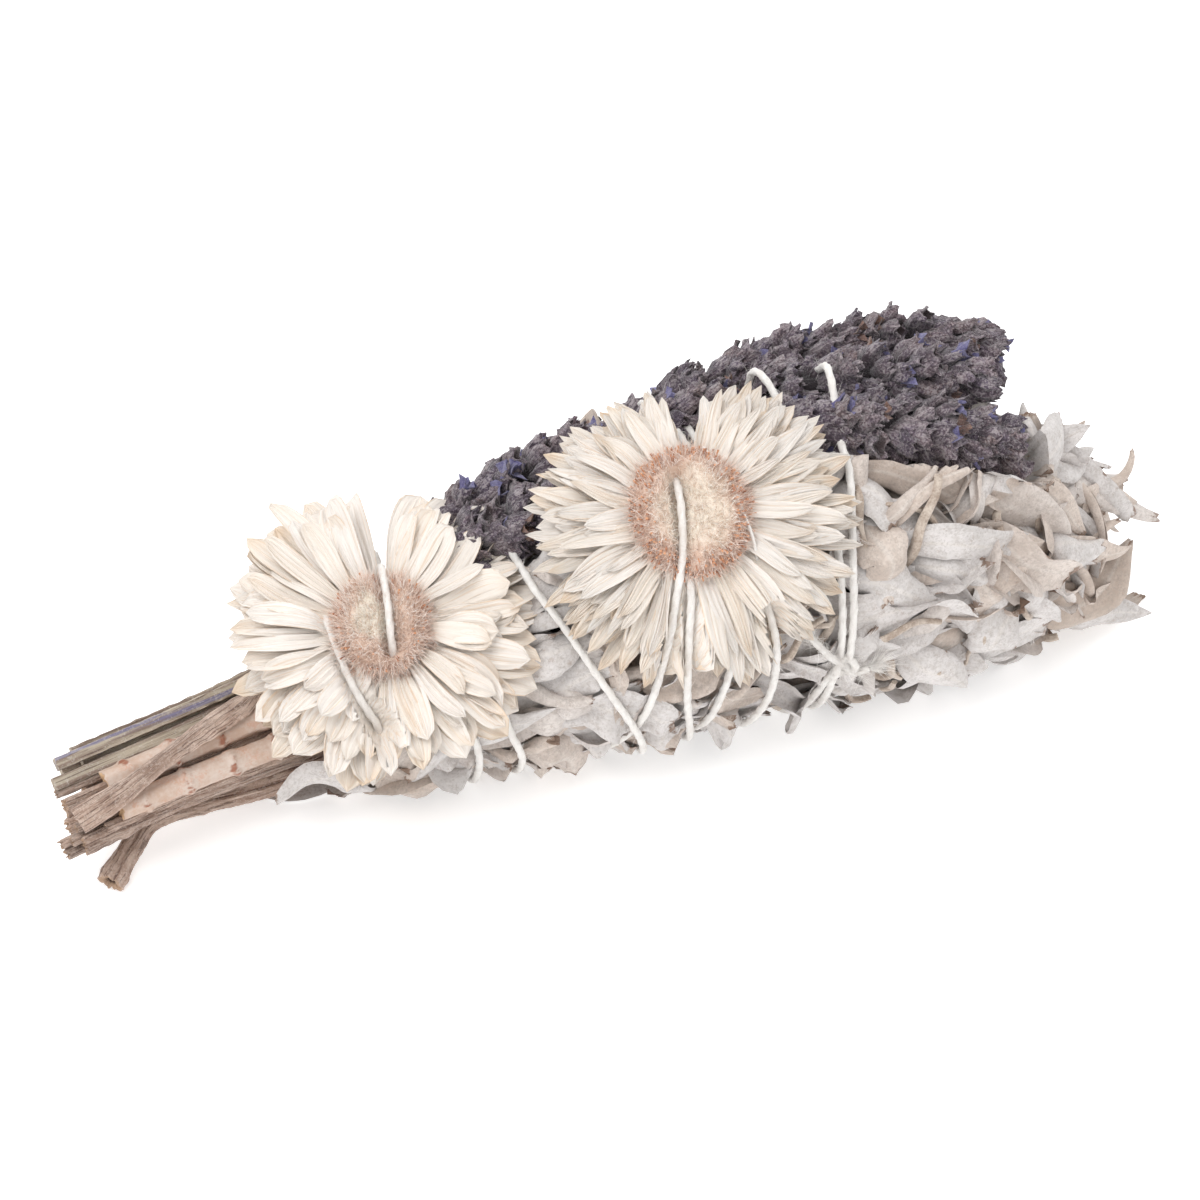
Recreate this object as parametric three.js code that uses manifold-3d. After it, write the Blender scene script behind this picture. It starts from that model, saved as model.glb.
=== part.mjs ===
// A dried herb bunch lying on a table: leafy sage branches and lavender spikes, with two strawflower
// heads laid on them, all bound by one wound cotton string. Millimetres, +Z up. The bunch lies along
// X with its cut stems at -X, and the origin is on the table under the middle of the bunch.
//
// Most pieces are placed in the bunch's own coordinates: x along its length, an angle round it
// (0 at the front, 90 on top, 180 at the back, -90 underneath) and a radius from its middle line.

import * as THREE from "three";
import { mergeVertices } from "three/addons/utils/BufferGeometryUtils.js";
import Module from "manifold-3d";

const wasm = await Module();
wasm.setup();
const { Manifold, Mesh } = wasm;

// ---- Driving dimensions ----

const OUTLINE = [ // [x, radius] of the bound bunch
  [-88, 8.9], [-72, 8.8], [-58, 9], [-45, 12.5], [-25, 18.2], [0, 24],
  [25, 27], [45, 27.5], [62, 24], [75, 17], [92, 9],
];
const STEM_SWAY = [[-88, -7.5], [-70, -4], [-55, -1], [-42, 0], [92, 0]]; // [x, y] of the middle line
const SINK = 0.5; // what lies lowest is pressed flat by this much
const STEM_TOP_X = -43; // the stems run to here, and the leafy cores start just past it
const LEAFY_END_X = 62; // the leafy cores end here, and only loose leaves reach further
const GAP = 0.3; // clearance between two pieces that touch in the real bunch
const STRING_R = 0.8; // radius of the cotton string
const STALK_R = 0.9; // radius of a lavender stalk
const SPIKE_R = 5; // radius of a lavender spike over its flowers
const LAVENDER_ROOM = 10.8; // how far the sage under the lavender stays below the outline
const LEAF_THICK = 0.9; // at the midrib
const BRACT_THICK = 0.8;
const SHORTEST_EDGE = 0.03; // shorter ones, left by a cut, are drawn together
const THINNEST_FACE = 0.003; // thinner ones are turned over into their neighbours
const SLIVER_PASSES = 6;
const MIDDLE = { x: 2.87, y: -1.62 }; // the middle of the bunch's box, in the coordinates above

const SAGE_GREY = 0xb9b4ae;
const SAGE_WOOD = 0x9a8577;
const PEELED_WOOD = 0xd6b598;
const LAVENDER_GREY = 0x6d6675;
const STALK_GREY = 0x8d8580;
const BRACT_CREAM = 0xf2e6d2;
const DISC_BROWN = 0xb7998a;
const COTTON_WHITE = 0xeeebe6;

// ---- The bunch's own coordinates ----

// Smooth interpolation of a table of [x, y] rows, by cubics whose slopes follow the neighbours.
function along(table, x) {
  const last = table.length - 1;
  if (x <= table[0][0]) return table[0][1];
  if (x >= table[last][0]) return table[last][1];
  const i = table.findIndex((row) => row[0] > x) - 1;
  const slope = (k) => {
    const a = table[Math.max(0, k - 1)];
    const b = table[Math.min(last, k + 1)];
    return (b[1] - a[1]) / (b[0] - a[0]);
  };
  const [x0, y0] = table[i];
  const [x1, y1] = table[i + 1];
  const h = x1 - x0;
  const t = (x - x0) / h;
  return (
    y0 * (1 + 2 * t) * (1 - t) ** 2 + h * slope(i) * t * (1 - t) ** 2 +
    y1 * (3 - 2 * t) * t ** 2 + h * slope(i + 1) * (t - 1) * t ** 2
  );
}

const outline = (x) => along(OUTLINE, x);

const radians = THREE.MathUtils.degToRad;

// The point at x along the bunch, at an angle round it in degrees and a radius from its middle line.
function place(x, angle, radius) {
  const a = radians(angle);
  const y = along(STEM_SWAY, x) - radius * Math.cos(a);
  return new THREE.Vector3(x, y, outline(x) - SINK + radius * Math.sin(a));
}

// The same with a height over the outline in place of the radius.
const onOutline = ([x, angle, height]) => place(x, angle, outline(x) + height);

// A repeatable draw from 0 to 1 for piece i of a family, with k telling its several draws apart.
function draw(family, i, k) {
  const s = Math.sin(family * 12.9898 + i * 78.233 + k * 37.719) * 43758.5453;
  return s - Math.floor(s);
}

const between = (low, high, share) => low + (high - low) * share;

const clamp = THREE.MathUtils.clamp;

// ---- Solids ----

// A closed mesh through rings of points, each ring with the same count, or a single point where an
// end comes to a tip. A strip's diagonals start from its even corners, so that the two faces of a
// thin blade are split alike and never cross.
function loft(rings) {
  const positions = [];
  const starts = rings.map((ring) => {
    const start = positions.length / 3;
    ring.forEach((p) => positions.push(p.x, p.y, p.z));
    return start;
  });
  const faces = [];
  for (let j = 0; j + 1 < rings.length; j++) {
    const low = rings[j].length;
    const high = rings[j + 1].length;
    const count = Math.max(low, high);
    for (let i = 0; i < count; i++) {
      const n = (i + 1) % count;
      const a = starts[j] + (low > 1 ? i : 0);
      const b = starts[j] + (low > 1 ? n : 0);
      const c = starts[j + 1] + (high > 1 ? n : 0);
      const d = starts[j + 1] + (high > 1 ? i : 0);
      if (low === 1) faces.push(a, c, d);
      else if (high === 1) faces.push(a, b, d);
      else if (i % 2 === 0) faces.push(a, b, c, a, c, d);
      else faces.push(a, b, d, b, c, d);
    }
  }
  closeEnd(faces, starts[0], rings[0].length, true);
  closeEnd(faces, starts[rings.length - 1], rings[rings.length - 1].length, false);
  const geometry = new THREE.BufferGeometry();
  geometry.setAttribute("position", new THREE.Float32BufferAttribute(positions, 3));
  geometry.setIndex(faces);
  return geometry;
}

// A fan of faces over a ring of count points, looking back along the loft or forward.
function closeEnd(faces, start, count, back) {
  for (let i = 1; i + 1 < count; i++) {
    if (back) faces.push(start, start + i + 1, start + i);
    else faces.push(start, start + i, start + i + 1);
  }
}

// A geometry as a solid that can be joined and cut, turned right side out if need be.
function solid(geometry) {
  const vertProperties = new Float32Array(geometry.getAttribute("position").array);
  const triVerts = new Uint32Array(geometry.index.array);
  const made = new Manifold(new Mesh({ numProp: 3, vertProperties, triVerts }));
  if (made.volume() > 0) return made;
  triVerts.reverse();
  return new Manifold(new Mesh({ numProp: 3, vertProperties, triVerts }));
}

const joined = (solids) => solids.reduce((whole, piece) => whole.add(piece));

// The largest body of a solid, without the scraps that a cut leaves beside it.
function mainBody(whole) {
  return whole.decompose().reduce((best, body) => (body.volume() > best.volume() ? body : best));
}

// A route through points, resampled to evenly spaced ones of about the given step.
function spaced(points, step) {
  const curve = new THREE.CatmullRomCurve3(points, false, "centripetal");
  curve.arcLengthDivisions = points.length * 20;
  return curve.getSpacedPoints(Math.max(2, Math.round(curve.getLength() / step)));
}

// The rings of a tube along evenly spaced points: radiusAt(share of the length, corner) from each.
function tubeRings(points, sides, radiusAt) {
  const frames = new THREE.CatmullRomCurve3(points).computeFrenetFrames(points.length - 1, false);
  return points.map((p, j) => Array.from({ length: sides }, (_, i) => {
    const a = (i / sides) * 2 * Math.PI;
    const r = radiusAt(j / (points.length - 1), i);
    return p.clone()
      .addScaledVector(frames.normals[j], r * Math.cos(a))
      .addScaledVector(frames.binormals[j], r * Math.sin(a));
  }));
}

const tube = (points, sides, radiusAt) => solid(loft(tubeRings(points, sides, radiusAt)));

// ---- Sage stems ----

const STEMS = [ // angle round the bunch, distance out, cut end, radius, and whether peeled and knobbly
  { angle: 0, out: 0, cut: -83, r: 1.7 },
  { angle: 20, out: 3.8, cut: -80, r: 1.65 },
  { angle: 92, out: 3.8, cut: -85, r: 1.6 },
  { angle: 164, out: 3.8, cut: -82, r: 1.7 },
  { angle: -124, out: 3.8, cut: -79, r: 1.6 },
  { angle: -52, out: 3.8, cut: -86, r: 1.55 },
  { angle: 33, out: 7.7, cut: -78, r: 2, peeled: true },
  { angle: 71, out: 7.7, cut: -79, r: 2.1, peeled: true },
  { angle: -2, out: 7.3, cut: -84, r: 1.45 },
  { angle: -37, out: 7.3, cut: -82, r: 1.6, splay: 1 },
  { angle: -74, out: 7.3, cut: -80, r: 1.5 },
  { angle: -110, out: 7.3, cut: -84, r: 1.6 },
  { angle: -147, out: 7.3, cut: -86, r: 1.5 },
  { angle: 177, out: 7.3, cut: -81, r: 1.5 },
];
const STEM_SPREAD = [[-88, 1.06], [-60, 1], [-43, 1.1]]; // how far the stems stand apart along x
const STEM_TWIST = 0.25; // degrees per millimetre that they turn round each other
const SPLAY_OUT = 2.2; // how far the splayed stem's end stands off
const NODE_SPACING = 7; // between the rings where a peeled stem carried its leaves

function sageStem(stem, i) {
  const route = [];
  for (let k = 0; k <= 3; k++) {
    const x = between(stem.cut, STEM_TOP_X - 1.5 * GAP, k / 3);
    const free = (stem.splay ?? 0) * clamp((-58 - x) / 25, 0, 1);
    const out = stem.out * along(STEM_SPREAD, x) + SPLAY_OUT * free;
    route.push(place(x, stem.angle + STEM_TWIST * (-55 - x) - 6 * free, out));
  }
  const points = spaced(route, stem.peeled ? NODE_SPACING / 2 : 12);
  const length = STEM_TOP_X - stem.cut;
  return tube(points, 6, (share, corner) => {
    const groove = 1 - 0.14 * draw(31, i, corner);
    if (!stem.peeled) return stem.r * groove;
    const ring = Math.cos((2 * Math.PI * share * length) / NODE_SPACING);
    return stem.r * (0.94 + 0.06 * ring) * (1 - 0.05 * draw(31, i, corner));
  });
}

// ---- Sage leaves ----

// Seven groups of leaves share the bunch. Six lie round its front, underside and back, each in its
// own wedge, and the seventh fills the wedge under the lavender.
const WEDGES = [
  { from: 30, to: 74, height: 0 },
  { from: -15, to: 30, height: 0 },
  { from: -60, to: -15, height: 0.3 },
  { from: -105, to: -60, height: 0.9 },
  { from: -150, to: -105, height: 0.5 },
  { from: -194, to: -150, height: 0 },
  { from: 74, to: 166, height: 0, under: true },
];
const CORE_SHARE = 0.7; // a leafy core's radius as a share of the leaves' own outline
const LEAVES_PER_WEDGE = 8;
const LEAVES_UNDER_LAVENDER = 6;
const CORE_X = [STEM_TOP_X + GAP, -22, 0, 22, 45, LEAFY_END_X];
const UNDER_LAVENDER = [[-44, 0], [-22, LAVENDER_ROOM], [92, LAVENDER_ROOM - 3]]; // [x, depth]

// The radius that a wedge's leaves reach at x.
function leafOutline(x, wedge) {
  return outline(x) - (wedge.under ? along(UNDER_LAVENDER, x) : 0);
}

// A wedge's section at x: its sharp inner corner, and four points along its arc. They stay half a gap
// clear of the wedge's two side planes.
function wedgeSection(x, { from, to }, radius) {
  const middle = (from + to) / 2;
  const half = radians((to - from) / 2);
  const clear = GAP * 0.6;
  const swing = THREE.MathUtils.radToDeg(half - Math.asin(clear / radius));
  const arc = [-1, -0.33, 0.33, 1].map((share) => place(x, middle + swing * share, radius));
  return [place(x, middle, clear / Math.sin(half)), ...arc];
}

function leafyCore(wedge) {
  const rings = CORE_X.map((x) => wedgeSection(x, wedge, leafOutline(x, wedge) * CORE_SHARE));
  const tip = LEAFY_END_X + 9;
  rings.push([place(tip, (wedge.from + wedge.to) / 2, leafOutline(tip, wedge) * 0.45)]);
  return solid(loft(rings));
}

// All of a wedge, wider than the outline and past both ends of its leaves.
function wedgeRoom(wedge) {
  const xs = [-62, ...CORE_X, 75, 100];
  return solid(loft(xs.map((x) => wedgeSection(x, wedge, outline(x) + 14))));
}

// Half the width of a lance-shaped leaf at share t of its length, as a share of the widest.
const lance = (t) => Math.sin(Math.PI * t ** 0.85) ** 0.8;

// One leaf. It starts in the core at [x, angle], runs along the bunch and round it by turn degrees,
// bends out to its height and tip over the outline, is folded along its midrib and twisted.
function sageLeaf(leaf, wedge) {
  const stations = 4;
  const rings = [];
  for (let j = 0; j <= stations; j++) {
    const t = j / stations;
    const x = leaf.x + leaf.length * t;
    const surface = leafOutline(x, wedge);
    const risen = between(-0.35 * surface, leaf.height, Math.min(1, t / 0.4));
    const out = risen + (leaf.tip - leaf.height) * Math.max(0, (t - 0.4) / 0.6);
    const angle = leaf.angle + leaf.turn * t;
    const middle = place(x, angle, surface + out);
    if (j === 0 || j === stations) rings.push([middle]);
    else rings.push(leafSection(middle, angle, leaf, t));
  }
  return solid(loft(rings));
}

// A leaf's section at its middle point: one edge, its midrib's top, the other edge, its midrib's underside.
function leafSection(middle, angle, leaf, t) {
  const a = radians(angle);
  const tilt = radians(leaf.twist * (t - 0.3));
  const outward = new THREE.Vector3(0, -Math.cos(a), Math.sin(a));
  const round = new THREE.Vector3(0, Math.sin(a), Math.cos(a));
  const across = round.clone().multiplyScalar(Math.cos(tilt)).addScaledVector(outward, Math.sin(tilt));
  const normal = outward.clone().multiplyScalar(Math.cos(tilt)).addScaledVector(round, -Math.sin(tilt));
  const half = (leaf.width / 2) * lance(t);
  const corner = (side, up) => middle.clone().addScaledVector(across, side).addScaledVector(normal, up);
  const edge = leaf.fold * half;
  return [corner(-half, edge), corner(0, LEAF_THICK / 2), corner(half, edge), corner(0, -LEAF_THICK / 2)];
}

// The leaves of wedge number w, in rows of three along it, looser towards the far end.
function wedgeLeaves(wedge, w) {
  const middle = (wedge.from + wedge.to) / 2;
  const reach = (wedge.to - wedge.from) / 2;
  const count = wedge.under ? LEAVES_UNDER_LAVENDER : LEAVES_PER_WEDGE;
  const leaves = [];
  for (let i = 0; i < count; i++) {
    const x = between(-42, 58, (i + 0.5 * draw(w, i, 1)) / count);
    const side = (i % 3) - 1 + 0.4 * (draw(w, i, 2) - 0.5);
    const loose = clamp((x - 28) / 25, 0, 1);
    leaves.push(sageLeaf({
      x,
      angle: middle + side * reach * 0.5,
      length: between(25, 36, draw(w, i, 3)),
      width: between(7, 9.6, draw(w, i, 4)),
      turn: between(-10, 10, draw(w, i, 5)),
      height: wedge.height + between(-2, -0.2, draw(w, i, 6)),
      tip: wedge.height + between(-2.5, 0.2, draw(w, i, 7)) + loose * between(0, 5, draw(w, i, 8)),
      fold: between(-0.35, 0.35, draw(w, i, 9)),
      twist: between(-30, 30, draw(w, i, 10)) * (1 + loose),
    }, wedge));
  }
  return leaves;
}

// Single leaves that make the bunch's shape at its far end and over its stems, each wedge's in turn.
const LOOSE_LEAVES = [
  [
    { x: 52, angle: 40, length: 39, width: 7.2, turn: 2, height: 1, tip: 3, fold: 0.3, twist: 20 },
    { x: 52, angle: 65, length: 26, width: 8, turn: 3, height: -7, tip: 9, fold: -0.3, twist: -38 },
  ],
  [
    { x: 30, angle: 17, length: 30, width: 7, turn: -14, height: 0.6, tip: 0, fold: 0.2, twist: 10 },
    { x: 54, angle: 10, length: 30, width: 7, turn: 6, height: 0, tip: 3, fold: 0.4, twist: -30 },
  ],
  [
    { x: 58, angle: -34, length: 34, width: 8, turn: -4, height: 1, tip: 6, fold: 0.3, twist: 25 },
    { x: 40, angle: -28, length: 26, width: 8, turn: 4, height: 0.8, tip: 1, fold: -0.2, twist: 20 },
    { x: -38, angle: -32, length: -19, width: 7, turn: 4, height: 1.6, tip: 2.5, fold: 0.4, twist: 30 },
  ],
  [
    { x: 50, angle: -80, length: 32, width: 8, turn: 4, height: 0, tip: 3, fold: 0.2, twist: 10 },
    { x: -36, angle: -84, length: -18, width: 7, turn: 0, height: 1.6, tip: 1, fold: 0.2, twist: 10 },
  ],
  [
    { x: 50, angle: -128, length: 36, width: 8, turn: 4, height: 0, tip: 3, fold: -0.3, twist: -30 },
  ],
  [
    { x: 50, angle: -172, length: 38, width: 8, turn: -3, height: 0.5, tip: 4, fold: 0.3, twist: 25 },
    { x: -38, angle: -170, length: -17, width: 7, turn: 0, height: 1.8, tip: 2, fold: 0.3, twist: -20 },
  ],
  [
    { x: 54, angle: 126, length: 36, width: 8, turn: 0, height: 3, tip: 9, fold: 0.3, twist: 25 },
    { x: 56, angle: 88, length: 25, width: 8, turn: 0, height: -2, tip: 15, fold: -0.3, twist: -25 },
  ],
];

// ---- Lavender ----

// Each spike from its base to its tip as [x, angle], and its stalk's way from the cut end to the base
// as [x, angle, radius].
const LAVENDER = [
  { from: [28, 127], to: [69, 101], stalk: [[-84, 138, 7.4], [-58, 138, 7.4], [-43, 134, 8.6],
    [-20, 114, 8.2], [0, 115, 12], [15, 120, 15]] },
  { from: [20, 101], to: [59, 76], stalk: [[-81, 121, 7.4], [-58, 121, 7.4], [-43, 117, 8.6],
    [-20, 97, 8.2], [0, 98, 12], [10, 99, 14]] },
  { from: [29, 73], to: [62, 51], stalk: [[-86, 104, 7.4], [-58, 104, 7.4], [-43, 100, 8.6],
    [-20, 80, 8.2], [0, 79, 11.5], [16, 76, 15.5]] },
  { from: [-25, 119], to: [14, 118], stalk: [[-82, 130, 9.7], [-58, 130, 9.7], [-43, 125, 11]] },
  { from: [-24, 86], to: [12, 87], stalk: [[-85, 112, 9.7], [-58, 112, 9.7], [-43, 103, 11]] },
  { from: [2, 156], to: [43, 155], stalk: [[-83, 155, 7.4], [-58, 155, 7.4], [-43, 152, 9.2],
    [-15, 152, 13.5]] },
];
const WHORLS = 6; // rings of calyces on a spike
const CALYCES_PER_WHORL = 5;
const CALYX_LENGTH = 6.4;
const CALYX_R = 1.6;
const SPIKE_CORE_R = 3;

// A spike's radius over its flowers at share t of its length: slim at both ends.
const spikeRadius = (t) => SPIKE_R * (0.5 + 0.5 * Math.sin(Math.PI * clamp(0.12 + 0.8 * t, 0, 1)) ** 0.7);

// The spike's middle line, a radius below the outline.
function spikeLine({ from, to }, steps) {
  return Array.from({ length: steps + 1 }, (_, k) => {
    const t = k / steps;
    const x = between(from[0], to[0], t);
    return place(x, between(from[1], to[1], t), outline(x) - spikeRadius(t) + 0.4);
  });
}

function lavenderSpike(lavender, family) {
  const line = spikeLine(lavender, 12);
  const frames = new THREE.CatmullRomCurve3(line).computeFrenetFrames(12, false);
  const curve = new THREE.CatmullRomCurve3(line);
  const core = [0, 3, 6, 9, 11].map((k) => line[k]);
  const parts = [tube(core, 5, (share) => SPIKE_CORE_R * (0.75 + 0.6 * share * (1 - share)))];
  for (let w = 0; w < WHORLS; w++) {
    const t = (w + 0.1) / WHORLS;
    const k = Math.round(t * 12);
    const ahead = curve.getTangentAt(t);
    for (let i = 0; i < CALYCES_PER_WHORL; i++) {
      const n = w * CALYCES_PER_WHORL + i;
      const turn = ((i + 0.5 * (w % 2) + 0.5 * (draw(family, n, 1) - 0.5)) / CALYCES_PER_WHORL) * 2 * Math.PI;
      const out = frames.normals[k].clone().multiplyScalar(Math.cos(turn))
        .addScaledVector(frames.binormals[k], Math.sin(turn));
      const room = spikeRadius(Math.min(1, t + 0.08));
      parts.push(calyx(curve.getPointAt(t), ahead, out, room, draw(family, n, 2)));
    }
  }
  return joined(parts);
}

// One calyx: a three-sided bud from inside the core, out to room and forward along the spike.
function calyx(centre, ahead, out, room, share) {
  const reach = room * between(0.86, 1, share);
  const forward = Math.sqrt(Math.max(1, CALYX_LENGTH ** 2 - reach ** 2));
  const root = centre.clone().addScaledVector(out, SPIKE_CORE_R * 0.5);
  const tip = centre.clone().addScaledVector(out, reach).addScaledVector(ahead, forward);
  const belly = root.clone().lerp(tip, 0.62);
  const beside = new THREE.Vector3().crossVectors(out, ahead).normalize();
  const axis = tip.clone().sub(root).normalize();
  const over = new THREE.Vector3().crossVectors(axis, beside);
  const ring = [0, 1, 2].map((i) => {
    const a = (i / 3) * 2 * Math.PI;
    return belly.clone()
      .addScaledVector(beside, CALYX_R * Math.cos(a))
      .addScaledVector(over, CALYX_R * Math.sin(a));
  });
  return solid(loft([[root], ring, [tip]]));
}

// The stalk stops just short of its spike's core.
function stalkPoints(lavender) {
  const line = spikeLine(lavender, 12);
  const back = line[0].clone().sub(line[1]).normalize();
  const route = lavender.stalk.map(([x, angle, radius]) => place(x, angle, radius));
  route.push(line[0].clone().addScaledVector(back, 4), line[0].clone().addScaledVector(back, 2 * GAP));
  return spaced(route, 9);
}

// ---- Strawflowers ----

// Where each head's base lies on the bunch, its lean in degrees along it, and how its bracts stand.
const STRAWFLOWERS = [
  { x: -36.8, angle: 66, lean: -14, disc: 7.8, tips: 0.75 },
  { x: 7, angle: 51.5, lean: -11, disc: 8.6, tips: 0.35 },
];
const HEAD_SPREAD_R = 22.5; // radius of a head over its outer bracts
const HEAD_BEND_R = 42; // the head is pressed round the bunch to this radius
const HEAD_LIFT = 1.2; // its underside's height over the outline
const RECEPTACLE_H = 4;
const DISC_H = 2;
const BRACT_ROWS = [ // [reach, rise at the tip, rise at the root, bract width]
  [1, 0, 0.1, 5.8], [0.94, 2.8, 1, 5.6], [0.8, 5, 1.9, 5], [0.62, 6.4, 2.8, 4.2],
];
const BRACTS_PER_ROW = 10;

// A head's frame: its place, its axis n, and the directions e along the bunch and f round it.
function headFrame({ x, angle, lean }) {
  const a = radians(angle);
  const b = radians(lean);
  const n = new THREE.Vector3(Math.sin(b), -Math.cos(a) * Math.cos(b), Math.sin(a) * Math.cos(b));
  const e = new THREE.Vector3(1, 0, 0).addScaledVector(n, -n.x).normalize();
  const f = new THREE.Vector3().crossVectors(n, e);
  return { at: onOutline([x, angle, HEAD_LIFT]), n, e, f };
}

// The point at a distance from the head's axis, an angle round it and a rise over its underside, with
// the whole head bent round the bunch.
function headPoint({ at, n, e, f }, distance, turn, rise) {
  const u = distance * Math.cos(turn);
  const v = distance * Math.sin(turn);
  const r = HEAD_BEND_R + rise;
  return at.clone()
    .addScaledVector(e, u)
    .addScaledVector(f, r * Math.sin(v / HEAD_BEND_R))
    .addScaledVector(n, r * Math.cos(v / HEAD_BEND_R) - HEAD_BEND_R);
}

// A round solid of the head: rows of [distance, rise], from its axis below to its axis above.
function headSolid(frame, rows, sides, bump = () => 0) {
  return solid(loft(rows.map(([distance, rise], j) => {
    if (distance === 0) return [headPoint(frame, 0, 0, rise)];
    return Array.from({ length: sides }, (_, i) => (
      headPoint(frame, distance, (i / sides) * 2 * Math.PI, rise + bump(i, j))
    ));
  })));
}

function bract(frame, row, turn, tips) {
  const [reach, tipRise, rootRise, width] = row;
  const rings = [[headPoint(frame, 4, turn, rootRise)]];
  for (const [t, w] of [[0.35, 0.75], [0.8, 1]]) {
    const distance = between(4, HEAD_SPREAD_R * reach, t);
    const rise = between(rootRise, tipRise, t ** 1.3);
    const swing = (width * w) / 2 / distance;
    rings.push([
      headPoint(frame, distance, turn - swing, rise),
      headPoint(frame, distance, turn, rise + BRACT_THICK),
      headPoint(frame, distance, turn + swing, rise),
    ]);
  }
  rings.push([headPoint(frame, HEAD_SPREAD_R * reach, turn, tipRise + tips)]);
  return solid(loft(rings));
}

function strawflowerBracts(flower, family) {
  const frame = headFrame(flower);
  const base = flower.disc + 1;
  const parts = [headSolid(frame, [[0, 0], [base, 0], [base, RECEPTACLE_H], [0, RECEPTACLE_H]], 13)];
  BRACT_ROWS.forEach((row, k) => {
    for (let i = 0; i < BRACTS_PER_ROW; i++) {
      const n = k * BRACTS_PER_ROW + i;
      const turn = ((i + 0.5 * (k % 2) + 0.35 * (draw(family, n, 1) - 0.5)) / BRACTS_PER_ROW) * 2 * Math.PI;
      const reach = row[0] * between(0.93, 1.02, draw(family, n, 2));
      parts.push(bract(frame, [reach, ...row.slice(1)], turn, flower.tips));
    }
  });
  return joined(parts);
}

// The disc: a low dome of florets, raised in a ring and dipping in the middle.
function strawflowerDisc(flower, family) {
  const frame = headFrame(flower);
  const low = RECEPTACLE_H + GAP;
  const r = flower.disc;
  const rows = [
    [0, low], [r * 0.8, low], [r * 0.94, low + 0.8], [r * 0.86, low + DISC_H],
    [r * 0.66, low + DISC_H + 0.7], [r * 0.4, low + DISC_H + 0.5], [0, low + DISC_H - 0.2],
  ];
  const bump = (i, j) => (j > 2 && j < 6 ? 0.7 * (((i + j) % 2) - 0.5) + 0.3 * draw(family, i, j) : 0);
  return headSolid(frame, rows, 12, bump);
}

// The room that a head needs: everything over its underside, inside its outer bracts.
function headRoom(flower) {
  const r = HEAD_SPREAD_R + 1;
  return headSolid(headFrame(flower), [[0, -GAP], [r * 0.5, -GAP], [r, -GAP], [r, 24], [0, 24]], 14);
}

// ---- String ----

// One string, turn by turn: [x, angle, height over the outline] from the back, over the top, down the
// front and under the bunch. It starts at the knot, runs back to the stems, returns and is tied off.
const STRING_TURNS = [
  [[27, -10, 1.6], [25, -60, 1], [22, -120, 1], [19, -180, 1]],
  [[16, 135, 1.4], [13, 90, 0], [12, 55, -0.4], [10.5, 9, 0.8], [8.9, -16, 0.6], [7.8, -33, 0.4],
    [6, -80, 0.6], [6, -140, 0.6], [6.5, -200, 1]],
  [[7, 120, 2], [7.3, 68, 6], [3.6, 40, 6.2], [0.7, 18, 4.5], [-3.4, -19, 0.6], [-9, -70, 0.4],
    [-19, -130, 0.4], [-30, -190, 0.8]],
  [[-37, 145, 3], [-41, 118, 6.5], [-43.6, 77, 7], [-42.5, 48, 7], [-41, 25, 5.5], [-39.5, -5, 3],
    [-37, -35, 1.2], [-35, -90, 1.2], [-33, -150, 1.2], [-32, -200, 1.8]],
  [[-32, 125, 5], [-34, 88, 7], [-37, 54, 7.4], [-33, 28, 6], [-28, 5, 2.4], [-26.6, -10, 1.2],
    [-25, -60, 1], [-24, -120, 1], [-25, -190, 1.4]],
  [[-26, 135, 1.8], [-26, 100, 3], [-25, 60, 3.4], [-22.7, 4.5, 1.6], [-20, -22, 1], [-18, -70, 1],
    [-18, -130, 1], [-18, -190, 1.4]],
  [[-17, 130, 1.4], [-16.5, 90, 1.2], [-15.5, 51, 1], [-13.3, 36, 1], [-9, 9, 1.2], [-3.4, -21, 2],
    [0, -50, 1.2], [3, -110, 1], [5, -180, 1]],
  [[6, 135, 0.8], [5, 90, -0.4], [4.5, 45, -0.4], [4.2, 20, 0.4], [4.2, -7, 1], [7, -45, 1.6],
    [10, -90, 1], [13, -150, 1], [15, -200, 1]],
  [[15, 135, 0.8], [15, 90, -0.4], [15, 45, -0.4], [15.2, 20, 0.6], [16.6, 0, 1], [17.3, -30, 1],
    [19, -80, 1], [22, -150, 1], [24, -205, 1]],
  [[25, 130, 1], [25.6, 93, 1], [26.5, 70, 1], [27.2, 40, 1], [26.8, 8, 1], [26.6, -10, 1.2],
    [29, -60, 1], [32, -120, 1], [35, -180, 1]],
  [[36, 135, 1], [35, 85, 1], [31.5, 50, 1], [29, 24, 1], [28.4, 5, 1.2], [28, -9, 1.8]],
];
const STRING_STEP = 13;
const STRING_SIDES = 5;
const CHUNK = 8; // steps of the string that are made as one solid before they are joined
const KNOT_AT = [27.3, -11, 2];
const KNOT_R = 1.5;
const TAILS = [ // from the knot to the frayed ends
  [[27, -10, 1.8], [24.5, -4, 2.4], [20.1, 8.5, 2.4]],
  [[27, -10, 1.8], [29, -14, 2.2], [31, -12.6, 2.6]],
];

function stringPoints() {
  return spaced(STRING_TURNS.flat().map(onOutline), STRING_STEP);
}

// A tube along the string's way, in chunks that share their end rings.
function stringTube(points, sides, radius) {
  const rings = tubeRings(points, sides, () => radius);
  const chunks = [];
  for (let k = 0; k + 1 < rings.length; k += CHUNK) chunks.push(solid(loft(rings.slice(k, k + CHUNK + 1))));
  return chunks;
}

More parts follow.
